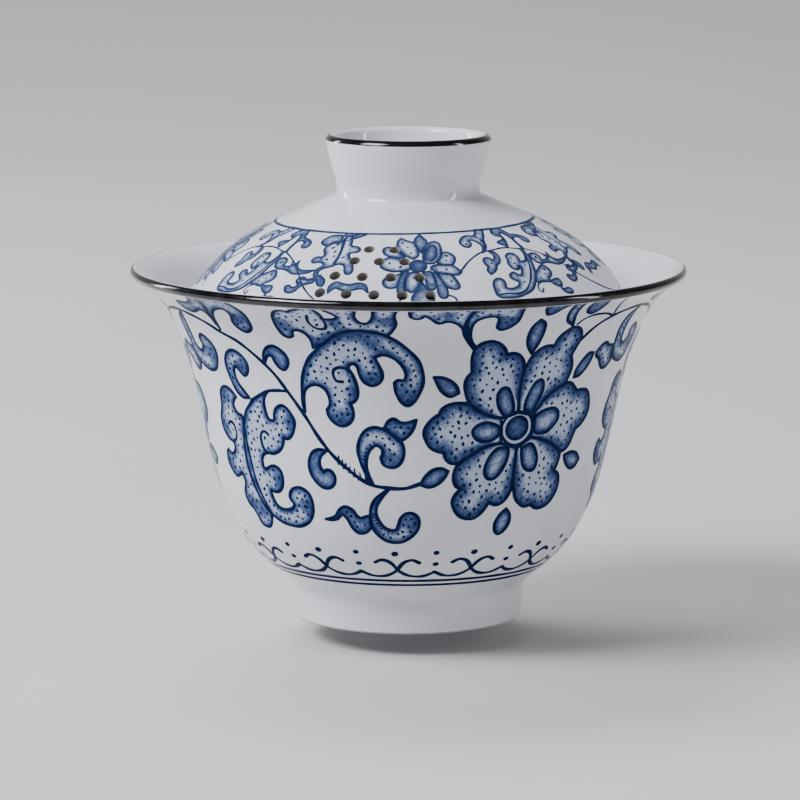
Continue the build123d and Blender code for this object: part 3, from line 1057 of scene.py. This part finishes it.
        [(-3.7, 18.25), (-5.2, 18.1), (-7.1, 18.6), (-8.6, 19.75), (-9.4, 21.25), (-9.2, 22.75),
         (-7.9, 24.25), (-5.2, 26.25)],
    ]),
    Leaf("leaf_tail", DARK, [
        [(-23.3, 20.05), (-21.8, 20.6), (-20.7, 21.75), (-18.8, 22.5), (-16.5, 21.9), (-15.4, 20.9),
         (-14.3, 20.4), (-12.8, 20.7), (-11.4, 20.9)],
        [(-11.1, 19.5), (-11.1, 18.6)],
        [(-13.1, 17.4), (-15.4, 17.3), (-17.3, 18.5), (-18.4, 20), (-19.9, 20.9), (-21.4, 20),
         (-23.3, 19.6), (-25.4, 19.7)],
    ]),
]


# ---- The lid's repeat ----
LID_STROKES = [
    Stroke("stem", 0.36, [
        (15.6, 12.1), (20, 14.8), (25.6, 16.8), (31.5, 17.4), (35, 17.7), (38.5, 17.5), (41.5, 17.1),
        (44.5, 16.8), (50, 15.1), (54.8, 12.5), (59, 9.5), (63.5, 7.2), (67, 5.8), (71, 4.6), (76, 3.8),
        (81, 4.2), (85, 5.6), (88, 7.6),
    ]),
    Stroke("flower_twig", 0.34, [(10.6, 7.3), (11.8, 7.1), (12.8, 6.6), (13.2, 5.6)]),
    Stroke("acanthus_twig", 0.34, [(50.2, 15), (50.6, 13.8), (50.3, 12.9)]),
    Stroke("small_scroll_twig", 0.34, [(56.6, 11.2), (58.5, 11.1), (61, 11.6), (63, 12.4)]),
    Stroke("pendant_twig", 0.34, [(39.9, 8.6), (39.1, 8), (38.9, 7.2), (39.9, 6.7), (40.4, 7.4)]),
    Stroke("ring_curl_vein", 0.42, [(27.6, 21.8), (28.9, 20.8), (29.3, 19.5), (28.6, 18.2)]),
    Stroke("low_acanthus_vein", 0.42, [
        (25.6, 6.9), (28, 7.1), (31, 6.9), (33.5, 7.2), (35.7, 8.1), (39.4, 11.1), (42, 14.7), (42.6, 16.3),
    ]),
    Stroke("high_acanthus_vein", 0.6, [
        (64.7, 23.2), (64.3, 21.8), (65, 20.4), (65.7, 18.6), (65.9, 16.8), (65.6, 15.2),
    ]),
]
LID_LEAVES = [
    Leaf("flower_top", LIDDARK, [
        [(2.5, 19.6), (2.2, 20.8), (3.2, 22), (4.6, 22.9)],
        [(5.8, 21.8), (7, 20.7), (6.6, 19.6), (5.4, 18.4), (4.4, 17.3)],
        [(3.4, 18.3)],
    ]),
    Leaf("flower_left_high", LIDLEAF, [
        [(-3.2, 16), (-7.6, 16.5), (-8.9, 17.5), (-8.8, 18.5), (-7.4, 18.9), (-4.3, 18.3)],
        [(-2.9, 17.2), (-1.3, 16.2)],
    ]),
    Leaf("flower_upper_left", LIDPETAL, [
        [(-0.3, 16.2), (-3.3, 18.1), (-4.3, 19.6), (-4, 20.9), (-2.9, 21.7)],
        [(-1.2, 21.1), (0.6, 20.6), (2.2, 20.2), (3.3, 16.6), (1.6, 15.6)],
    ]),
    Leaf("flower_upper_right", LIDPETAL, [
        [(5, 17), (6.8, 19.7), (10.2, 20.6), (11.4, 20.1), (11.8, 18.8), (10.8, 16.1), (9.5, 15),
         (7.5, 14.4), (4.9, 14.6)],
        [(4.9, 15)],
    ]),
    Leaf("flower_upper_right_heart", LENS, [
        [(5.8, 17), (6.7, 18.5), (8.2, 19.4), (9.7, 19.3), (9.6, 16.7), (8.5, 15.6), (7.2, 15.1),
         (5.6, 15.5)],
    ]),
    Leaf("flower_right_high", LIDLEAF, [
        [(10.9, 16.4), (11.7, 17.3), (13.2, 17.4), (14.7, 16.9), (15.5, 16), (15.2, 15), (14.2, 14)],
        [(12.5, 13.9), (9.5, 14.3)],
        [(9.5, 15.2)],
    ]),
    Leaf("flower_right", LIDPETAL, [
        [(9, 14.1), (14, 14)],
        [(15.2, 13.2), (16.3, 12.3)],
        [(15.1, 11.6), (13, 11.7), (9, 12.2), (7, 13)],
        [(7, 13.6)],
    ]),
    Leaf("flower_right_low", LIDLEAF, [
        [(9.4, 10.8), (10.4, 9.4), (11.9, 8.7), (13.8, 8.5), (14.6, 9), (13.5, 11.2), (12.5, 11.9)],
        [(9, 12.1)],
    ]),
    Leaf("flower_bottom_right", LIDLEAF, [
        [(8.1, 9.2), (8.2, 7.7), (8.9, 6.8), (10.3, 6.8), (10.9, 7.9), (10.5, 9.4), (8.3, 12.2)],
        [(7, 12.3)],
    ]),
    Leaf("flower_bottom_right_heart", LIDPETAL, [
        [(5, 10.5), (5.4, 9), (6.4, 8.4), (7.6, 8.9), (7.9, 10.3), (7.4, 11.8), (6.6, 12.6)],
        [(4.3, 12.4)],
    ]),
    Leaf("flower_bottom", LIDDARK, [
        [(2.6, 8.6), (1.3, 7.4), (0.9, 6.3), (2.4, 5.4), (4.2, 5), (6, 5.5), (6.9, 6.4), (4.8, 8.9),
         (3.8, 10.2)],
    ]),
    Leaf("flower_bottom_left_heart", LIDPETAL, [
        [(1, 12.4), (-0.3, 11.7), (-1, 10.2), (-0.7, 8.6), (0.7, 8), (2.3, 8.8), (3.3, 10.3), (2.8, 12.3)],
    ]),
    Leaf("flower_bottom_left", LIDLEAF, [
        [(-1, 11), (-1.3, 9.4), (-1, 8.1)],
        [(-1.6, 7.3), (-2.8, 7.7), (-3.2, 9.2), (-2.7, 11), (-1.7, 12.5)],
        [(-0.2, 12.5)],
    ]),
    Leaf("flower_left_low", LIDLEAF, [
        [(-3.2, 11.8), (-5, 11.6), (-6.8, 11), (-7.5, 10.1), (-6.7, 9.1), (-5.1, 8.8), (-3.2, 9.1)],
        [(-2.6, 10.8), (-1.9, 12.4)],
    ]),
    Leaf("flower_left", LIDPETAL, [
        [(-1.5, 12.7), (-4, 12.5), (-6.6, 12.8), (-8.6, 13.5), (-9, 14.5), (-8, 15.5), (-5.8, 16),
         (-3.4, 15.7), (-1.2, 15), (1.2, 14.6)],
        [(1.2, 13.2)],
    ]),
    Leaf("ring_curl", LIDLEAF, [
        [(31.8, 21.5), (30.6, 20.7), (30, 19.8), (29.5, 18.6), (27.2, 17), (26.2, 16.8)],
        [(27.9, 18.6), (26, 20.3), (24.6, 20.5), (23.9, 20.2)],
        [(24.2, 19.6), (22.8, 18.6), (21.5, 18.5), (20.3, 19), (19.8, 19.8), (20.2, 20.5), (21.5, 21.3),
         (23.5, 21.9), (25.5, 22), (27.2, 21.8)],
        [(28.8, 22.5), (30.3, 24)],
        [(34.5, 24)],
    ]),
    Leaf("small_c_leaf", LIDLEAF, [
        [(30.2, 17.1), (31.4, 16.1), (31.3, 15), (30.3, 14), (28.7, 13.4)],
        [(28.2, 12.7), (27, 11.9), (25.4, 11.4)],
        [(24.8, 12.3), (25.6, 13.1)],
        [(25, 13.9), (25.2, 15), (26.4, 15.4), (27.6, 15.3), (28.1, 14.7)],
        [(29.3, 15), (29.7, 16), (28.6, 17.1)],
    ]),
    Leaf("low_acanthus", LIDPETAL, [
        [(24.7, 8.5), (25, 9.5), (26, 10.2), (27.3, 10.4), (28.5, 10), (28.8, 9.2), (28.4, 8.3)],
        [(29.5, 8), (31.2, 8.1), (32.6, 8.5), (33.4, 9.2), (31.5, 10.2), (31.5, 10.9), (32.3, 11.3),
         (33.4, 11.5)],
        [(34.9, 10.7), (35.9, 11), (37, 12.9), (36.4, 12.7)],
        [(35.6, 12), (34.4, 12.1), (33.4, 12.7), (33.2, 13.6), (33.9, 14.4)],
        [(33.9, 15.2), (34.8, 15.8), (36.2, 16.1), (37.8, 15.9), (38.5, 15.2), (38.6, 14.4), (38.1, 13.9)],
        [(39.2, 13.8), (40.4, 13.9), (41.4, 14.5), (42.3, 16.2), (42, 17)],
        [(43.3, 17)],
        [(43.4, 15), (42.3, 12.8), (41, 10.8), (38, 8.2), (36, 7.2), (31, 6.2), (28, 6.2), (25.8, 6.3),
         (24.8, 6.9)],
    ]),
    Leaf("low_acanthus_right", LIDLEAF, [
        [(42.2, 11.3), (44.8, 12.3), (46.1, 12.4), (47.1, 11.8), (47.5, 10.8), (46.6, 10), (45.2, 9.5),
         (44.5, 9)],
        [(45.6, 8.9), (47, 9.1), (48.3, 9.1), (48.8, 8.4), (48.3, 7.7), (47, 7.5), (45.6, 8), (44.4, 8.7)],
        [(42.7, 8.8), (41.2, 8.9), (40, 8.6)],
        [(39.7, 9.4), (41.2, 11)],
    ]),
    Leaf("low_acanthus_lobe", LIDLEAF, [
        [(48, 6.8), (49.3, 6.9), (50.5, 6.9), (51.3, 6.3), (50.6, 5.8), (49, 5.9), (47.6, 6.4),
         (47.3, 7.5)],
    ]),
    Leaf("pendant", LIDDARK, [
        [(37.8, 23), (36.8, 22), (37.5, 21.3), (39.4, 21), (39.6, 20.3), (38.3, 19.9), (36.5, 19.7),
         (35.3, 19.2), (36.3, 18.6), (37.4, 18.2), (38, 17.7)],
        [(39.4, 19.3), (40, 20.4), (40.3, 21.5), (41.3, 22.2), (42.8, 21.4), (43.5, 20.2), (43.4, 18.7),
         (43.6, 17.1)],
        [(44.4, 17)],
        [(44.1, 18.5), (44.3, 19.9), (45.5, 20.4), (47.2, 20.3), (48.2, 19.8)],
        [(48.1, 19.1), (49, 18.6), (50.3, 18.5), (51.3, 19), (51.2, 19.9), (49.8, 20.7), (47.6, 21.2),
         (45.5, 21.5), (44.4, 22.6), (43.2, 24)],
        [(39.5, 24)],
    ]),
    Leaf("right_scroll", LIDLEAF, [
        [(44.2, 15.3), (45.6, 15.5), (47.1, 15.3), (47.9, 14.5), (47.5, 13.7)],
        [(49.5, 13.6), (52, 14.4), (52.6, 15.2)],
        [(53, 14), (54.6, 13.2), (57, 13.1), (60, 13.3)],
        [(57.5, 12.5), (53, 12.1), (51, 12.6), (48.5, 12.9), (46.3, 12.8), (44.5, 13.3), (43.5, 15)],
    ]),
    Leaf("low_scroll", LIDLEAF, [
        [(53.3, 8.6), (54.3, 8.1), (55.6, 8.1), (56.9, 8.5), (57.6, 9.3), (58.6, 9.9), (60, 10.3),
         (61.3, 10.6), (62, 11.3)],
        [(60.2, 11.2), (58.9, 11.1), (58.2, 11.5), (57, 11.6), (56, 11.2), (56, 10.4), (57, 10.1)],
        [(56.4, 9.4), (55.2, 9.2), (54.2, 9.6), (53, 9.3)],
    ]),
    Leaf("far_curl", LIDDARK, [
        [(70, 22.9), (65, 21.6), (62.8, 21.2), (61, 20.6), (60, 20)],
        [(59.2, 19.7), (56, 20.3), (55.2, 21.2), (56, 22.2), (57.6, 22.9), (60, 23.2), (62.5, 23.1),
         (64.6, 22.8)],
        [(66.5, 23.2), (68.5, 24)],
        [(72.5, 24)],
    ]),
    Leaf("high_acanthus", LIDPETAL, [
        [(67.5, 21.8), (68.3, 20.4), (69.3, 20), (70.8, 20), (72, 19.5), (72.5, 18.9), (71.7, 18.3),
         (70.5, 18.2), (69.5, 18)],
        [(69.3, 17.5), (71.4, 15.7), (72.3, 14.5), (72.5, 13.5), (71.9, 12.9), (71, 12.8), (70, 13.5),
         (69.5, 14.5), (69, 14.9)],
        [(67.7, 15.1), (66.3, 14.9), (65.4, 14.5)],
        [(62.8, 13.9), (61.6, 13.2), (62, 12.3), (63.4, 12), (64.6, 11.4), (65, 10.5), (64.5, 9.9)],
        [(63.5, 10), (62.6, 10.7), (61.9, 11.6), (60.6, 12.1)],
        [(60.4, 13), (61, 13.9), (62.2, 14.6), (61.2, 15.2), (59.8, 15.3), (58.2, 15), (57.2, 15.4),
         (57.2, 16.1), (58.4, 16.6), (60, 16.5)],
        [(60.4, 17.3), (58.8, 18.9), (60.2, 20.9), (61.8, 21.2), (62.8, 20.4)],
        [(63, 21.6), (62.4, 22.6), (63, 23.4), (63.4, 24.1)],
        [(65.5, 24.1)],
    ]),
    Leaf("low_scroll", LIDLEAF, [
        [(67, 10), (68.6, 11), (71, 10.7), (73, 10.5), (75.2, 10.9), (77.6, 10.6), (78.6, 9)],
        [(77, 9.7), (75, 9.6), (73, 9.2), (71, 9.3), (69, 9.7), (67.2, 8.6)],
    ]),
]


# ---- Laying out the bowl's painting ----
BOWL_FLAT = 38.0
BOWL_TOP = 62.95
BOWL_SEED = 5
REPEAT = 128.0  # degrees from flower to flower, three times round
FRONT = 5.0  # the middle of the stretch that keeps its true width
TRUE_STRETCH = 90.0
COPIES = [(0, 0.0), (REPEAT, 1.2), (-REPEAT, -1.2)]  # turn, and how much higher the print sits
BOWL_EYE = [(FLOWER_EYE, 3.1, 0.5, PALE), (FLOWER_EYE, 2.1, 0.55, EYE)]
BOWL_TICKS = [
    ([(-19.2, 30.9), (-16.2, 29.3), (-11.8, 27.4)], 1.2, 0.75, -0.9),  # thorns on the stem
    ([(-18.6, 30.6), (-15.8, 29.1), (-13.0, 27.9)], 1.7, -0.5, -0.9),
    ([(-11.4, 31.3), (-10.3, 33.1), (-8.6, 34.2)], 0.8, 0.9, 0.1),  # inside the s-scroll
    ([(-9.3, 21.3), (-8.4, 19.8), (-6.6, 18.7), (-4.6, 18.3)], 0.8, -0.85, -0.1),  # inside the bottom curl
    ([(-41.9, 21.3), (-40, 20.9), (-37.4, 21.0)], 0.8, -1.0, 0.0),  # inside the acanthus' foot
]
BOWL_SHADES = [
    (-27.2, 47.4, 1.6), (-26.0, 49.8, 1.9), (-23.8, 51.9, 2.0), (-21.0, 53.6, 2.0), (-17.8, 54.9, 2.0),
    (-14.4, 55.6, 2.0), (-11.0, 55.3, 1.9), (-8.2, 53.8, 1.9), (-5.6, 51.4, 1.8), (-3.2, 48.6, 1.8),
    (-49.6, 37.6, 1.7), (-50.6, 34.6, 1.6), (-51.2, 31.4, 1.5), (-51.2, 28.2, 1.5), (-50.4, 25.0, 1.5),
    (-0.2, 43.2, 3.0), (-8.8, 47.0, 1.8), (-13.8, 44.0, 1.8), (-17.5, 39.2, 2.2), (-14.0, 48.6, 1.2),
    (-31.0, 22.0, 2.2), (-33.0, 37.5, 2.0), (-39.5, 26.5, 2.2), (-49.8, 20.0, 2.4), (-60.0, 34.8, 2.2),
    (-60.4, 27.6, 2.0), (-57.0, 40.6, 2.0), (-54.0, 21.0, 2.0), (0.9, 19.4, 2.2), (-4.6, 32.0, 1.6),
    (-28.8, 57.2, 2.4), (-9.6, 60.5, 2.4), (-4.6, 59.0, 2.4), (-16.0, 58.0, 1.8), (-41.0, 57.5, 2.2),
    (21.8, 58.5, 2.2), (-57.6, 48.6, 2.2), (-46.0, 47.2, 1.8), (-10.4, 18.0, 1.8), (8.0, 61.0, 2.4),
]
RINGS = (5.55, 4.1)
RING_WIDTH = 0.78


def round_bowl(angle):
    """Close the three repeats round the bowl: true in front, drawn together a little behind."""
    angle = (angle - FRONT + 1.5 * REPEAT) % (3 * REPEAT) - 1.5 * REPEAT
    share = (180 - TRUE_STRETCH) / (1.5 * REPEAT - TRUE_STRETCH)
    beyond = np.maximum(np.abs(angle) - TRUE_STRETCH, 0)
    return FRONT + np.sign(angle) * (np.minimum(np.abs(angle), TRUE_STRETCH) + beyond * share)


class BowlWall(Wall):
    """The bowl's wall for one copy of the repeat: unrolled places are turned, lifted and closed round."""

    def __init__(self, turn, rise):
        super().__init__(BELLY)
        self.turn = turn
        self.rise = rise

    def place(self, angles, s, lift=0.0):
        return super().place(round_bowl(angles + self.turn), np.minimum(s + self.rise, BOWL_TOP), lift)


def bowl_painting():
    canvas = Canvas(BOWL_OUTSIDE, BOWL_FLAT, BOWL_SEED)
    canvas.draw(BOWL_LEAVES, OUTLINE, BOWL_EYE, BOWL_STROKES)
    for line, gap, length, lean in BOWL_TICKS:
        canvas.hatch(line, gap, length, lean)
    canvas.shades = BOWL_SHADES
    cut = canvas.cut()
    lines, washes = Paint(), Paint()
    for turn, rise in COPIES:
        wall = BowlWall(turn, rise)
        lines.add(wall, cut, cut.lines, LINE_LIFT, BOWL_TOP - rise)
        washes.add(wall, cut, cut.washes, WASH_LIFT, BOWL_TOP - rise)
    lines.piece("bowl_painted_lines", LINE, "bowl")
    washes.piece("bowl_painted_washes", WASH, "bowl")


# ---- The border above the foot: crossing scrolls with dots between them ----
BORDER_UNITS = 14
BORDER_SEED = 11
BORDER_MIDDLE = -3.8  # where a unit's middle is, in degrees
UNIT_WIDTH = 26.5  # of a unit, in the measure of the scroll's points
SCROLL = [
    (13.5, 8.3), (9.7, 7.15), (6.5, 6.95), (3.7, 7.3), (1.4, 8.1), (0, 8.9), (-1.5, 10.3),
    (-3.2, 11.15), (-5.4, 11.4), (-7.5, 10.75),
]
SCROLL_WIDTH = 0.76
SCROLL_DOTS = [(-0.6, 12.9, 0.58), (13.0, 13.1, 0.5), (13.2, 10.35, 0.5)]
DOT_SHAPE = (14, 1.15, 0.2)  # sides, stretch, turn
UNEVEN = math.degrees(0.0306)  # the units are a little wider on the left than on the right


def round_border(angle):
    return angle + UNEVEN * math.sin(math.radians(angle))


def border_painting():
    canvas = Canvas(BOWL_OUTSIDE, BOWL_FLAT, BORDER_SEED)
    unit = 360 / BORDER_UNITS
    for number in range(BORDER_UNITS):
        middle = BORDER_MIDDLE + unit * (number - BORDER_UNITS // 2)
        for side in (1, -1):
            points = [(round_border(middle + side * x * unit / UNIT_WIDTH), s) for x, s in SCROLL]
            canvas.stroke(points, SCROLL_WIDTH)
        for x, s, radius in SCROLL_DOTS:
            place = canvas.flat_place(round_border(middle + x * unit / UNIT_WIDTH), s)
            canvas.disc(place, radius, *DOT_SHAPE)
    cut = canvas.cut()
    lines = Paint()
    lines.add(BOWL_OUTSIDE, cut, cut.lines, LINE_LIFT, BOWL_TOP)
    lines.piece("bowl_border", LINE, "bowl")
    level = [(lambda angles, s=s: np.full(len(angles), s), RING_WIDTH) for s in RINGS]
    closed_ring("bowl_rings", BOWL_OUTSIDE, level, LINE, "bowl")


# ---- Laying out the lid's painting ----
LID_FLAT = 30.0
LID_TOP = 24.0
LID_SEED = 23
LID_EYE = [((3.0, 13.9), 1.4, 0.4, EYE)]
LID_OUTLINE = 0.42
LID_RING = 23.35
LID_RING_WIDTH = 0.62
LID_SHIFT = 0.85
LID_SHIFT_FROM = 15
LID_COPIES = [(0, True), (-90, True), (180, False), (90, False)]  # turn, and whether holes go through it


def lid_shift(angle):
    """How far up the dome the print sits: it was put on a little off centre."""
    return LID_SHIFT * np.sin(np.radians(np.asarray(angle, float) - LID_SHIFT_FROM))


class LidWall(Wall):
    """The dome for one copy of the repeat. The drawing already has the shift that it needs in front."""

    def __init__(self, turn):
        super().__init__(DOME)
        self.turn = turn

    def place(self, angles, s, lift=0.0):
        return super().place(angles + self.turn, s + lid_shift(angles + self.turn) - lid_shift(angles), lift)

    def unplace(self, angle, s):
        """Where on this copy's drawing a place on the dome lies."""
        return angle - self.turn, s - lid_shift(angle) + lid_shift(angle - self.turn)


def hole_fan():
    """The drain holes: (distance from the axis, degrees round it from +X)."""
    for row_radius, count, pitch in HOLE_ROWS:
        step = math.degrees(pitch / row_radius)
        for hole in range(count):
            yield row_radius, HOLES_FACE + step * (hole - (count - 1) / 2)


def lid_drawing(wall, holed):
    """One repeat of the lid's painting, cut where the drain holes go through it."""
    canvas = Canvas(LID_OUTSIDE, LID_FLAT, LID_SEED)
    canvas.draw(LID_LEAVES, LID_OUTLINE, LID_EYE, LID_STROKES)
    if holed:
        for row_radius, angle in hole_fan():
            s = float(np.interp(-row_radius, -LID_OUTSIDE.line[:, 0], LID_OUTSIDE.up))
            canvas.holes.append(canvas.flat_place(*wall.unplace(angle + 90, s)))
    return canvas.cut()


def lid_painting():
    """Four repeats round the lid. The fan of holes goes through the one in front and the one to its left."""
    lines, washes = Paint(), Paint()
    for turn, holed in LID_COPIES:
        wall = LidWall(turn)
        cut = lid_drawing(wall, holed)
        lines.add(wall, cut, cut.lines, LINE_LIFT, LID_TOP)
        washes.add(wall, cut, cut.washes, WASH_LIFT, LID_TOP)
    lines.piece("lid_painted_lines", LID_LINE, "lid")
    washes.piece("lid_painted_washes", LID_WASH, "lid")
    shifted = [(lambda angles: LID_RING + lid_shift(angles), LID_RING_WIDTH)]
    closed_ring("lid_ring", LID_OUTSIDE, shifted, LID_LINE, "lid")


# ---- The turned pieces ----
DRILL_SIDES = 40


def drill(piece):
    """Cut the fan of drain holes through the lid, and give their bare walls the biscuit material."""
    dome = LID_OUTSIDE.line
    drills = bmesh.new()
    for row_radius, angle in hole_fan():
        i = int(np.argmin(np.abs(dome[:, 0] - row_radius)))
        along = (dome[i + 1] - dome[i - 1]) / np.hypot(*(dome[i + 1] - dome[i - 1]))
        turn = Matrix.Rotation(math.radians(angle), 4, "Z")
        place = Matrix.Translation(Vector((dome[i][0], 0, dome[i][1])) * MM)
        tilt = Vector((along[1], 0, -along[0])).to_track_quat("Z", "Y").to_matrix().to_4x4()
        bmesh.ops.create_cone(
            drills, cap_ends=True, segments=DRILL_SIDES, radius1=HOLE_RADIUS * MM, radius2=HOLE_RADIUS * MM,
            depth=3 * LID_WALL * MM, matrix=turn @ place @ tilt,
        )
    cutter_mesh = bpy.data.meshes.new("drills")
    drills.to_mesh(cutter_mesh)
    drills.free()
    cutter_mesh.materials.append(PORCELAIN)
    cutter_mesh.materials.append(BISCUIT)
    for polygon in cutter_mesh.polygons:
        polygon.material_index = 1
    cutter = bpy.data.objects.new("drills", cutter_mesh)
    bpy.context.scene.collection.objects.link(cutter)
    cut = piece.modifiers.new("holes", "BOOLEAN")
    cut.operation = "DIFFERENCE"
    cut.solver = "EXACT"
    cut.object = cutter
    bpy.context.view_layer.update()
    drilled = bpy.data.meshes.new_from_object(piece.evaluated_get(bpy.context.evaluated_depsgraph_get()))
    drilled.set_sharp_from_angle(angle=SHARP)
    piece.modifiers.clear()
    piece.data = drilled
    bpy.data.objects.remove(cutter)


def bare_below(mesh, height):
    """Faces below a height, in mm, take the piece's second material."""
    for polygon in mesh.polygons:
        if polygon.center.z < height * MM:
            polygon.material_index = 1


def turned_piece(name, profile, materials, body, node):
    return finish_piece(name, turned_mesh(name, profile), materials, body, node)


def turned_pieces():
    rim = band_profile(BELLY, BOWL_LIP, BOWL_BAND)
    knob_rim = band_profile(FLARE, KNOB_LIP, KNOB_BAND)
    turned_piece("bowl_body", bowl_profile(), [PORCELAIN], "bowl", "bowl")
    foot = turned_piece("foot", foot_profile(), [PORCELAIN, BISCUIT], "bowl", "foot_ring")
    bare_below(foot.data, FOOT_BARE)
    turned_piece("rim_line", rim, [LUSTRE], "bowl", "bowl_rim_band")
    lid = turned_piece("lid_dome", lid_profile(), [PORCELAIN, BISCUIT], "lid", "lid")
    drill(lid)
    turned_piece("knob", knob_profile(), [PORCELAIN], "lid", "lid_knob")
    turned_piece("knob_line", knob_rim, [LUSTRE], "lid", "knob_rim_band")


# ---- Stage, lights and camera: metres from here on ----
FLOOR_LINE = [(-1.2, 0), (0.6, 0), (1.0, 0.02), (1.3, 0.1), (1.5, 0.3), (1.6, 0.6), (1.65, 2.2)]
FLOOR_SIDE = 2.5
MIDDLE = (0, 0, 0.045)  # what the lights aim at
COOL = (0.95, 0.96, 1.0)
WHITE = (1, 1, 1)
LIGHTS = [  # name, place, size, power, colour, whether the glaze mirrors it
    ("softbox_left", (-0.80, -0.46, 0.94), (0.6, 0.6), 25.5, COOL, True),
    ("softbox_back", (-0.25, 0.60, 1.1), (0.8, 0.5), 11, COOL, False),
    ("strip_left", (-0.80, 0.48, 0.27), (0.12, 0.45), 3, WHITE, True),
    ("strip_right", (0.75, -0.15, 0.30), (0.08, 0.6), 2.0, WHITE, True),
]
VIEW_DISTANCE = 0.8
VIEW_DOWN = 9  # degrees below level
TARGET = (-0.0015, 0, 0.039)
FOCAL_LENGTH = 199.1
ROOM = (0.75, 0.78, 0.85, 1)
ROOM_STRENGTH = 0.1


def floor():
    """A pale sweep that curves up behind the object."""
    line = rounded_line(FLOOR_LINE, 0.06)
    mesh = bmesh.new()
    sides = [[mesh.verts.new((x, y, z)) for y, z in line] for x in (-FLOOR_SIDE, FLOOR_SIDE)]
    for i in range(len(line) - 1):
        mesh.faces.new((sides[0][i], sides[1][i], sides[1][i + 1], sides[0][i + 1]))
    data = bpy.data.meshes.new("floor")
    mesh.to_mesh(data)
    mesh.free()
    data.shade_smooth()
    surface = Surface("pale_floor")
    surface.feed("Base Color", surface.ramp(surface.noise(3, 2), [(0.3, grey(0.60)), (0.7, grey(0.64))]))
    surface.inputs["Roughness"].default_value = 0.6
    data.materials.append(surface.material)
    sweep = bpy.data.objects.new("floor", data)
    bpy.context.scene.collection.objects.link(sweep)


def studio():
    for name, place, size, power, colour, mirrored in LIGHTS:
        light = bpy.data.lights.new(name, "AREA")
        light.shape = "RECTANGLE"
        light.size, light.size_y = size
        light.energy = power
        light.color = colour
        lamp = bpy.data.objects.new(name, light)
        lamp.location = place
        lamp.visible_glossy = mirrored
        lamp.rotation_euler = (Vector(MIDDLE) - Vector(place)).to_track_quat("-Z", "Y").to_euler()
        bpy.context.scene.collection.objects.link(lamp)
    world = bpy.data.worlds.new("room")
    world.use_nodes = True
    background = world.node_tree.nodes["Background"]
    background.inputs["Color"].default_value = ROOM
    background.inputs["Strength"].default_value = ROOM_STRENGTH
    bpy.context.scene.world = world


def camera():
    data = bpy.data.cameras.new("camera")
    data.sensor_width = 36
    data.lens = FOCAL_LENGTH
    eye = bpy.data.objects.new("camera", data)
    down = math.radians(VIEW_DOWN)
    back = Vector((0, -math.cos(down), math.sin(down))) * VIEW_DISTANCE
    eye.location = Vector(TARGET) + back
    eye.rotation_euler = (math.radians(90 - VIEW_DOWN), 0, 0)
    bpy.context.scene.collection.objects.link(eye)
    bpy.context.scene.camera = eye


camera()
studio()
floor()
turned_pieces()
bowl_painting()
border_painting()
lid_painting()
